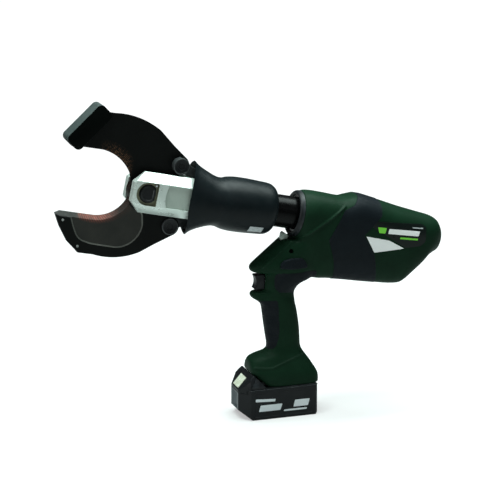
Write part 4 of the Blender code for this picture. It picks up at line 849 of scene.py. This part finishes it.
# The join of handle and barrel is blended, and the rest only loses the grid's own steps.
wide_zone = np.clip((co[:, 2] - 196) / 14, 0, 1) * np.clip((300 - co[:, 2]) / 12, 0, 1)
wide_zone *= np.clip((co[:, 0] + 60) / 10, 0, 1) * np.clip((135 - co[:, 0]) / 20, 0, 1)
strength = (0.5 * wide_zone)[:, None]
for step in range(BLEND_STEPS):
    near = np.zeros_like(co)
    np.add.at(near, pairs[:, 0], co[pairs[:, 1]])
    np.add.at(near, pairs[:, 1], co[pairs[:, 0]])
    co += (near / degree - co) * np.maximum(strength, 0.5 if step < GRID_STEPS else 0.0)
mesh.vertices.foreach_set("co", (co * MM).ravel())
mesh.update()
normal = np.empty(count * 3)
mesh.vertices.foreach_get("normal", normal)
normal = normal.reshape(-1, 3)


def from_line(p, q):
    """Distance of every vertex from a straight line seen from the side."""
    p, q = np.array(p, float), np.array(q, float)
    d = q - p
    flat = co[:, [0, 2]]
    t = np.clip(((flat - p) @ d) / (d @ d), 0, 1)
    return np.linalg.norm(flat - (p + t[:, None] * d), axis=1)


def within(points):
    inside = np.zeros(count, bool)
    x, z = co[:, 0], co[:, 2]
    for i in range(len(points)):
        (ax, az), (bx, bz) = points[i - 1], points[i]
        if az == bz:
            continue
        inside ^= ((az > z) != (bz > z)) & (x < (bx - ax) * (z - az) / (bz - az) + ax)
    return inside


def rim_distance(points):
    best = np.full(count, 1e9)
    for i in range(len(points)):
        best = np.minimum(best, from_line(points[i - 1], points[i]))
    return best


side_on = np.clip((np.abs(normal[:, 1]) - 0.25) / 0.35, 0, 1)
push = np.zeros(count)
for line, height, width in ((CREASE, 2.1, 1.7), (FOOT_RIDGE, 1.3, 1.6)):
    for p, q in zip(line, line[1:]):
        push = np.maximum(push, height * np.exp(-(from_line(p, q) / width) ** 2))
for zone in (GRIP, WEB):
    push -= 0.55 * np.clip((1.1 - rim_distance(zone)) / 0.7, 0, 1)
ribs = within(shrunk(GRIP, 4.0))
push += ribs * 0.35 * (np.sin(co[:, 2] * 2 * pi / 5.2) > 0.35) * np.clip((co[:, 0] + 40) / 4, 0, 1)
co += normal * (push * side_on)[:, None]
mesh.vertices.foreach_set("co", (co * MM).ravel())
mesh.update()
soft = (within(GRIP) | within(WEB)) & (co[:, 0] < 62)
mesh.attributes.new("soft_zone", "FLOAT", "POINT").data.foreach_set("value", soft.astype(np.float32))

hollow_rings = [barrel_ring((-262.5, 36.0, -44.0, 36.0, 2.0), 0.0)]
hollow_rings += [barrel_ring(s, WALL) for s in BARREL[3:18]]
hollow_rings += [barrel_ring((-504.5, 15.0, -22.0, 17.0, 2.2), 0.0)]
hollow = moved(loft("hollow", hollow_rings), HEAD)
hollow = join(hollow, loft("hollow", [handle_ring(*s) for s in HOLLOW_HANDLE]))
for x, z, side in POSTS:
    hollow = cut(hollow, drill(x, z, 4.6, -70, 70, 24))
shell = cut(outer, hollow, solver=FAST)
for x, z, side in POSTS:
    shell = cut(shell, drill(x, z, 3.7, -side * 10, -side * 60, 32),
                drill(x, z, 1.9, -side * 20, side * 12, 20), solver=FAST)
button_line = softened(BUTTON, 3.0, 4)
band_line = softened(BAND, 2.0, 3)
shell = cut(
    shell,
    block("cut", -70, 54, -27.5, 27.5, 54.6, 60.2),
    block("cut", -70, 54, -21.8, 21.8, 40, 56),
    moved(rod("cut", (-200, 0, 0), (-275, 0, 0), NECK_R + GAP, 96), HEAD),
    block("cut", -60, -15, -8.8, 8.8, 207.2, 233.2),
    plate("cut", button_line, -60, -10),
    plate("cut", softened([(-27.6, 255.6), (-19.6, 261.4), (-20.9, 263.2), (-28.9, 257.4)], 0.9, 4),
          -60, -15.5),
    plate("cut", [(2.0, 284.2), (2.0, 300.0), (18.0, 300.0), (17.6, 286.0), (12.6, 280.4)], -7.9, 7.9),
    solver=FAST,
)
seat = cut(plate("seat", band_line, -60, 60), barrel_body("core", 1.0), solver=FAST)
shell = cut(shell, seat, solver=FAST)
band = keep(plate("band", shrunk(band_line, GAP), -60, 60), barrel_body("skin", -0.5), solver=FAST)
band = cut(band, barrel_body("core", 0.7), solver=FAST)

for name, y0, y1 in (("left", -80, -GAP / 2), ("right", GAP / 2, 80)):
    half = keep(copy_of(shell, "half"), block("side", -200, 400, y0, y1, -50, 500), solver=FAST)
    done(half, f"housing_{name}_look", "body", ["green", "grip"], ["housing_" + name], "green_plastic",
         angle=48)
    soft = half.data.attributes["soft_zone"].data
    for face in half.data.polygons:
        face.material_index = int(sum(soft[v].value for v in face.vertices) / len(face.vertices) > 0.5)
    half = keep(copy_of(band, "half"), block("side", -200, 400, y0, y1, -50, 500), solver=FAST)
    done(half, f"soft_band_{name}_look", "body", ["band"], ["soft_band_" + name], "soft_rubber", angle=40)
drop(shell)
drop(band)

collar = turned("collar", [
    (NECK_R + 4.2, -255.6), (NECK_R + 4.2, -249.6), (NECK_R + 5.0, -248.6), (NECK_R + 7.0, -247.8),
    (33.6, -247.9), (34.9, -248.6), (36.1, -249.9), (36.8, -251.6), (37.2, -255.6)], "x", 112)
done(collar, "front_collar_look", "body", ["black"], ["front_collar"], "black_plastic", HEAD)
ring = turned("ring", [
    (NECK_R + 0.5, -255.6), (NECK_R + 0.5, -253.0), (NECK_R + 0.9, -252.6), (NECK_R + 3.4, -252.6),
    (NECK_R + 3.8, -253.0), (NECK_R + 3.8, -255.6)], "x", 112)
done(ring, "retaining_ring_look", "body", ["ring"], ["retaining_ring"], "bright_steel", HEAD)
lens = rounded(plate("lens", LENS, -7.5, 7.5), 1.0, 3, 30)
done(lens, "light_lens_look", "body", ["lens"], ["light_lens"], "lens")
for i, (x, z, side) in enumerate(POSTS, 1):
    seat_y, tip_y, out = -side * 10.3, side * 11.0, -side
    screw = turned("screw", [
        (0, out * 12.6), (2.6, out * 12.6), (3.1, out * 12.4), (3.3, out * 12.0), (3.3, seat_y),
        (1.6, seat_y), (1.6, tip_y), (0, tip_y)], "y", 40, (x, 0, z))
    star = []
    for k in range(24):
        r = 1.75 if k % 4 in (0, 1) else 1.25
        star.append((x + r * cos(2 * pi * k / 24), z + r * sin(2 * pi * k / 24)))
    screw = cut(screw, plate("cut", star, *sorted((out * 11.4, out * 14.0))))
    done(screw, f"housing_screw_look_{i}", "body", ["pin"], [f"housing_screw_{i}"], "bright_steel")

# ---------------------------------------------------------------- labels without lettering
LABELS = {  # height above the barrel, material, corner radius, steps of a corner, outline
    "panel": (0.16, "panel", 3.0, 5, [(147.0, 304.0), (152.0, 313.5), (236.0, 301.5), (243.0, 296.0),
                                      (241.0, 272.0), (232.0, 266.0), (205.5, 265.2)]),
    "wedge": (0.30, "white", 1.2, 4, [(136.5, 290.0), (176.0, 280.2), (203.0, 264.6), (151.0, 262.0)]),
    "stripe_1": (0.30, "white", 1.0, 4, [(176.0, 299.5), (231.0, 290.5), (228.0, 282.5), (174.0, 291.5)]),
    "stripe_2": (0.30, "lime", 1.0, 4, [(156.0, 304.0), (171.5, 301.2), (169.0, 292.4), (158.5, 294.2)]),
    "stripe_3": (0.30, "lime", 0.6, 3, [(196.0, 284.0), (227.5, 278.8), (226.6, 276.0), (195.0, 281.0)]),
    "stripe_4": (0.30, "grey_label", 0.4, 3, [(218.0, 298.4), (237.0, 295.2), (236.6, 293.6),
                                              (217.6, 296.8)]),
}
for name, (height, mat, radius, steps, outline) in LABELS.items():
    piece = plate("label", softened(outline, radius, steps), -60, -8)
    piece = keep(piece, barrel_body("skin", -height), solver=FAST)
    piece = cut(piece, barrel_body("core", 0.06), solver=FAST)
    done(piece, "label_" + name, "body", [mat], angle=50)

# ---------------------------------------------------------------- trigger and release button
trigger_line = ([(-24.0, 208.2), (-39.0, 208.2)] + arc((-41.0, 210.0), (-37.6, 221.0), (-40.2, 231.0), 24)
                + [(-38.6, 232.2), (-24.0, 232.2)])
trigger = rounded(plate("trigger", trigger_line, -8.0, 8.0), 1.6, 4, 30)
trigger = join(trigger, rod("stem", (-28, 0, 221), (-4, 0, 221), 3.0, 32))
for k in range(5):
    x, z = -40.6 + 0.6 * abs(k - 2), 213.4 + 3.4 * k
    trigger = cut(trigger, drill(x, z, 0.55, -5.6, 5.6, 12))
done(trigger, "trigger_look", "trigger_key", ["black"], ["trigger"], "black_plastic")
button = layered("button", shrunk(button_line, GAP), (
    (-25.0, 0.0), (-31.8, 0.0), (-32.8, 0.3), (-33.4, 1.0), (-33.6, 2.0)))
for k in range(5):
    x = 8.0 + 4.4 * k
    button = cut(button, rod("cut", (x, -34.0, 248.0), (x + 2.0, -34.0, 257.0), 0.75, 12))
button = join(button, rod("stem", (18, -27, 252), (18, -17, 252), 3.0, 32))
done(button, "release_button_look", "release_key", ["band"], ["release_button"], "soft_rubber", angle=40)


# ---------------------------------------------------------------- springs behind trigger and button
def coil(name, start, end, radius, wire, turns, per_turn=20):
    """Helical spring from start to end."""
    a, b = Vector(start), Vector(end)
    turn = (b - a).to_track_quat("Z", "Y").to_matrix()
    count = int(turns * per_turn)
    curve = bpy.data.curves.new(name, "CURVE")
    curve.dimensions = "3D"
    curve.bevel_depth = wire / 2 * MM
    curve.bevel_resolution = 3
    curve.use_fill_caps = True
    spline = curve.splines.new("POLY")
    spline.points.add(count)
    for i, point in enumerate(spline.points):
        angle = 2 * pi * i / per_turn
        p = a + turn @ Vector((radius * cos(angle), radius * sin(angle), (b - a).length * i / count))
        point.co = (*(p * MM), 1.0)
    return bake(add(name, curve))


SPRINGS = (  # node, moving end, fixed end, radius, wire, turns, joint, travel
    ("trigger_spring", (-23.3, 0, 221), (-13.9, 0, 221), 5.0, 0.9, 4, "trigger_slide", 7.0),
    ("release_spring", (18, -24.3, 252), (18, -16.0, 252), 5.0, 0.8, 3.5, "release_button_slide", 3.0))
for name, start, end, radius, wire, turns, joint, travel in SPRINGS:
    along = Vector(end) - Vector(start)
    spring = coil("spring", start, end, radius, wire, turns)
    done(spring, name + "_look", "body", ["steel"], [name], "bright_steel", angle=60)
    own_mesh(spring)

# ---------------------------------------------------------------- battery
PLAN = [(54.0, -BATT_Y), (57.5, -34.0), (57.5, 34.0), (54.0, BATT_Y), (-56.0, BATT_Y), (-71.8, 18.5),
        (-71.8, -18.5), (-56.0, -BATT_Y)]
NOSE_X, NOSE_SPLIT = -60.3, 43.0
SLOPE_LOW, SLOPE_TOP = Vector((-71.8, 47.8)), Vector((-50.5, 72.0))
SCOOP_X, SCOOP_R, SCOOP_Z0, SCOOP_Z1 = -88.5, 20.5, 15.0, 41.0
case = loft("case", [[(x, y, z) for x, y in PLAN] for z in (0.0, BATT_H)])
case = keep(case, plate("side", [(-90.0, -0.01)] + circle(52.5, 5.0, 5.01, -90, 0, 12)
                        + [(57.6, 60.0), (-90.0, 60.0)], -60, 60))
case = cut(case, block("cut", -90, NOSE_X, -60, 60, NOSE_SPLIT, 60), plate("cut", [
    (-90.0, 26.0), (-77.4, 18.0), (-53.0, -0.01), (-53.0, -20.0), (-90.0, -20.0)], -60, 60))
case = rounded(case, 2.0, 5, 30)
case = cut(case, loft("hollow", [[(x * 0.94 - 0.5, y * 0.93, z) for x, y in PLAN] for z in (23.0, 70.0)]),
           block("cut", -50.0, 54.0, -34.8, 34.8, 2.6, 30.0),
           rod("cut", (SCOOP_X, 0, SCOOP_Z1), (SCOOP_X, 0, SCOOP_Z0), SCOOP_R, 72))
# shallow panel on each side, below a raised rim line
panel = softened([(-51.5, 4.5), (-51.5, 45.0), (52.0, 45.0), (52.0, 4.5)], 5.0, 8)
for side in (-1, 1):
    case = cut(case, layered("cut", panel, ((BATT_Y - 0.45, 0.5), (BATT_Y, 0.0), (BATT_Y + 3, 0.0)), side))


def case_faces(c, n):
    """Number of the face's material in black, recess, edge_painted_highlight."""
    # the finger scoop in the front is coloured lighter blue-grey: painted light
    if hypot(c.x - SCOOP_X, c.y) < SCOOP_R + 0.4 and SCOOP_Z0 - 1 < c.z < SCOOP_Z1 + 1:
        return 1
    # the strip along the top edge of the case's sides is coloured lighter: a painted highlight
    return 2 if c.z > BATT_H - 2.3 and abs(c.y) > 34 else 0


done(case, "battery_case_look", "battery", ["black", "recess", "edge_painted_highlight"], ["battery_case"], "black_plastic",
     angle=38, pick=case_faces)

NOSE = [(-71.8, NOSE_SPLIT + GAP), tuple(SLOPE_LOW), tuple(SLOPE_TOP), (-48.6, 72.0), (-31.0, 54.0),
        (-31.0, BATT_H + GAP), (NOSE_X - GAP, BATT_H + GAP), (NOSE_X - GAP, NOSE_SPLIT + GAP)]
along = (SLOPE_TOP - SLOPE_LOW).normalized()
outward = Vector((-along.y, along.x))


def on_slope(distance, height):
    """Point at a distance up the nose slope and a height above it."""
    return tuple(SLOPE_LOW + along * distance + outward * height)


top = plate("top", NOSE, -BATT_Y + 1.0, BATT_Y - 1.0)
top = keep(top, loft("plan", [[(x, y * s, z) for x, y in PLAN]
                              for z, s in ((30.0, 1.0), (56.0, 1.0), (90.0, 0.62))]))
top = rounded(top, 1.2, 4, 24)
for side in (-1, 1):
    # fine step on each flank of the nose, along the slope
    top = cut(top, plate("cut", [(-56.6, 54.0), (-55.4, 54.0), (-44.0, 71.0), (-45.2, 71.0)],
                         side * 27.4, side * 60))
top = join(top, block("deck", -40, 57.0, -36.4, 36.4, BATT_H + GAP, 51.6),
           block("neck", -36, 51, -21.4, 21.4, 51, 55.6), block("rail", -36, 51, -27.1, 27.1, 54.9, 59.6))
top = cut(top, plate("cut", [on_slope(1.8, 3.0), on_slope(24.0, 3.0), on_slope(24.0, -4.8),
                             on_slope(1.8, -4.8)], -13.4, 13.4),
          block("cut", -30, 60, -14, 14, 53.0, 70), block("cut", -20, 40, -10, 10, 40, 52.0))
# upward faces along the deck's outer edges are coloured lighter: a painted highlight
done(rounded(top, 0.5, 2, 50), "battery_top_look", "battery", ["black", "edge_painted_highlight"], ["battery_top"],
     "black_plastic", angle=35, pick=lambda c, n: int(n.z > 0.9 and c.z < 52.5 and abs(c.y) > 30))
latch = plate("latch", [on_slope(2.4, 0.6), on_slope(23.4, 0.6), on_slope(23.4, -1.8), on_slope(2.4, -1.8)],
              -12.9, 12.9)
latch = rounded(latch, 0.6, 3, 40)
for k in range(3):
    latch = cut(latch, drill(*on_slope(7.5 + 2.4 * k, 0.75), 0.55, -9.5, 9.5, 12))
done(latch, "battery_latch_look", "battery_latch", ["latch"], ["battery_button"], "latch_plastic", angle=35)

PRINTS = (  # corner radius, steps of a corner, outline
    (0.8, 3, [(-48.0, 35.0), (-14.5, 33.0), (-15.5, 28.6), (-48.4, 30.4)]),
    (1.4, 4, [(-40.0, 24.0), (-3.0, 24.0), (-6.5, 13.5), (-43.0, 13.5)]),
    (1.2, 4, [(18.6, 28.0), (43.6, 28.0), (40.6, 16.6), (15.6, 16.6)]),
    (0.8, 3, [(0.0, 13.4), (39.0, 13.4), (38.2, 10.6), (-0.8, 10.6)]))
for i, (radius, steps, outline) in enumerate(PRINTS, 1):
    piece = plate("print", softened(outline, radius, steps), -BATT_Y + 0.29, -BATT_Y + 0.49)
    done(piece, f"battery_stripe_{i}", "battery", ["print"])

# ---------------------------------------------------------------- CAD nodes that stay as they are
KEPT = {
    "steel": ("piston_rod", "return_spring", "upper_crosshead_pin", "lower_crosshead_pin", "release_valve",
              "pump_body", "eccentric_shaft", "pump_plunger", "plunger_spring", "motor_can",
              "tip_guide_pin_1", "tip_guide_pin_2"),
    "rubber": ("piston_seal", "neck_seal", "oil_bladder"),
    "pin": ("crosshead",), "bronze": ("rod_gland",), "black": ("trigger_switch",), "cast": ("gear_case",),
    "circuit": ("control_board",), "copper": ("motor_rotor",), "amber": ("terminal_block",),
    "cell": ("cell_pack",),
}
for key, names in KEPT.items():
    for name in names:
        NODES[name].data.materials.clear()
        NODES[name].data.materials.append(MAT[key])
for name in ("crosshead", "pump_body", "gear_case", "motor_can"):
    bevel(NODES[name], 0.3, 2, 40)

# ---------------------------------------------------------------- floor, light and camera
def aimed(name, data, place, target):
    obj = bpy.data.objects.new(name, data)
    obj.location = place
    obj.rotation_mode = "QUATERNION"
    obj.rotation_quaternion = (Vector(target) - Vector(place)).to_track_quat("-Z", "Y")
    bpy.context.scene.collection.objects.link(obj)
    return obj


def lamp(name, place, target, size, size_y, power, tint=(1.0, 1.0, 1.0)):
    data = bpy.data.lights.new(name, "AREA")
    data.shape = "RECTANGLE"
    data.size, data.size_y = size, size_y
    data.energy = power
    data.color = tint
    aimed(name, data, place, target)


floor_mesh = bpy.data.meshes.new("floor")
floor_mesh.from_pydata([(-14, -6, 0), (14, -6, 0), (14, 22, 0), (-14, 22, 0)], [], [(0, 1, 2, 3)])
floor = add("floor", floor_mesh)
floor.location.z = -0.0002
paper = Nodes("studio_paper")
paper.shader.inputs["Roughness"].default_value = 0.9
paper.shader.inputs["Specular IOR Level"].default_value = 0.0
place = paper.new("ShaderNodeTexCoord").outputs["Object"]
shade = paper.mix(paper.noise(place, 3.0), (0.46, 0.46, 0.46), (0.49, 0.49, 0.49))
paper.link(shade, paper.shader.inputs["Base Color"])
away = paper.new("ShaderNodeVectorMath", operation="LENGTH")
paper.link(place, away.inputs[0])
paper.shader.inputs["Emission Color"].default_value = (1.0, 1.0, 1.0, 1.0)
seen = paper.new("ShaderNodeLightPath").outputs["Is Camera Ray"]
glow = paper.span(away.outputs["Value"], 0.5, 3.0, 0.42, 1.0)
paper.link(paper.math("MULTIPLY", glow, seen), paper.shader.inputs["Emission Strength"])
floor_mesh.materials.append(paper.mat)

CENTRE = Vector((-0.0457, 0.0, 0.2726))
lamp("top_box", (0.05, 0.10, 1.95), (0.05, 0.0, 0.25), 2.5, 1.25, 100.0, (0.86, 1.0, 0.97))
lamp("left_box", (-2.3, -0.9, 0.9), (-0.1, 0.0, 0.25), 1.2, 1.4, 12.0)
lamp("near_fill", (0.6, -2.9, 1.9), CENTRE, 1.6, 1.0, 5.2)

world = bpy.data.worlds.new("studio")
bpy.context.scene.world = world
world.use_nodes = True
back = world.node_tree.nodes["Background"]
back.inputs["Color"].default_value = (1.0, 1.0, 1.0, 1.0)
sky = world.node_tree.nodes.new("ShaderNodeMapRange")
sky.inputs["To Min"].default_value, sky.inputs["To Max"].default_value = 0.07, 1.0
seen = world.node_tree.nodes.new("ShaderNodeLightPath").outputs["Is Camera Ray"]
world.node_tree.links.new(seen, sky.inputs["Value"])
world.node_tree.links.new(sky.outputs["Result"], back.inputs["Strength"])

camera_data = bpy.data.cameras.new("camera")
camera_data.lens = 136.1
camera_data.sensor_width = 36.0
camera_data.clip_start, camera_data.clip_end = 0.05, 100.0
bpy.context.scene.camera = aimed("camera", camera_data, (-0.9649, -2.7633, 0.9933), CENTRE)
bpy.context.scene.view_settings.view_transform = "Standard"
bpy.context.scene.view_settings.look = "None"
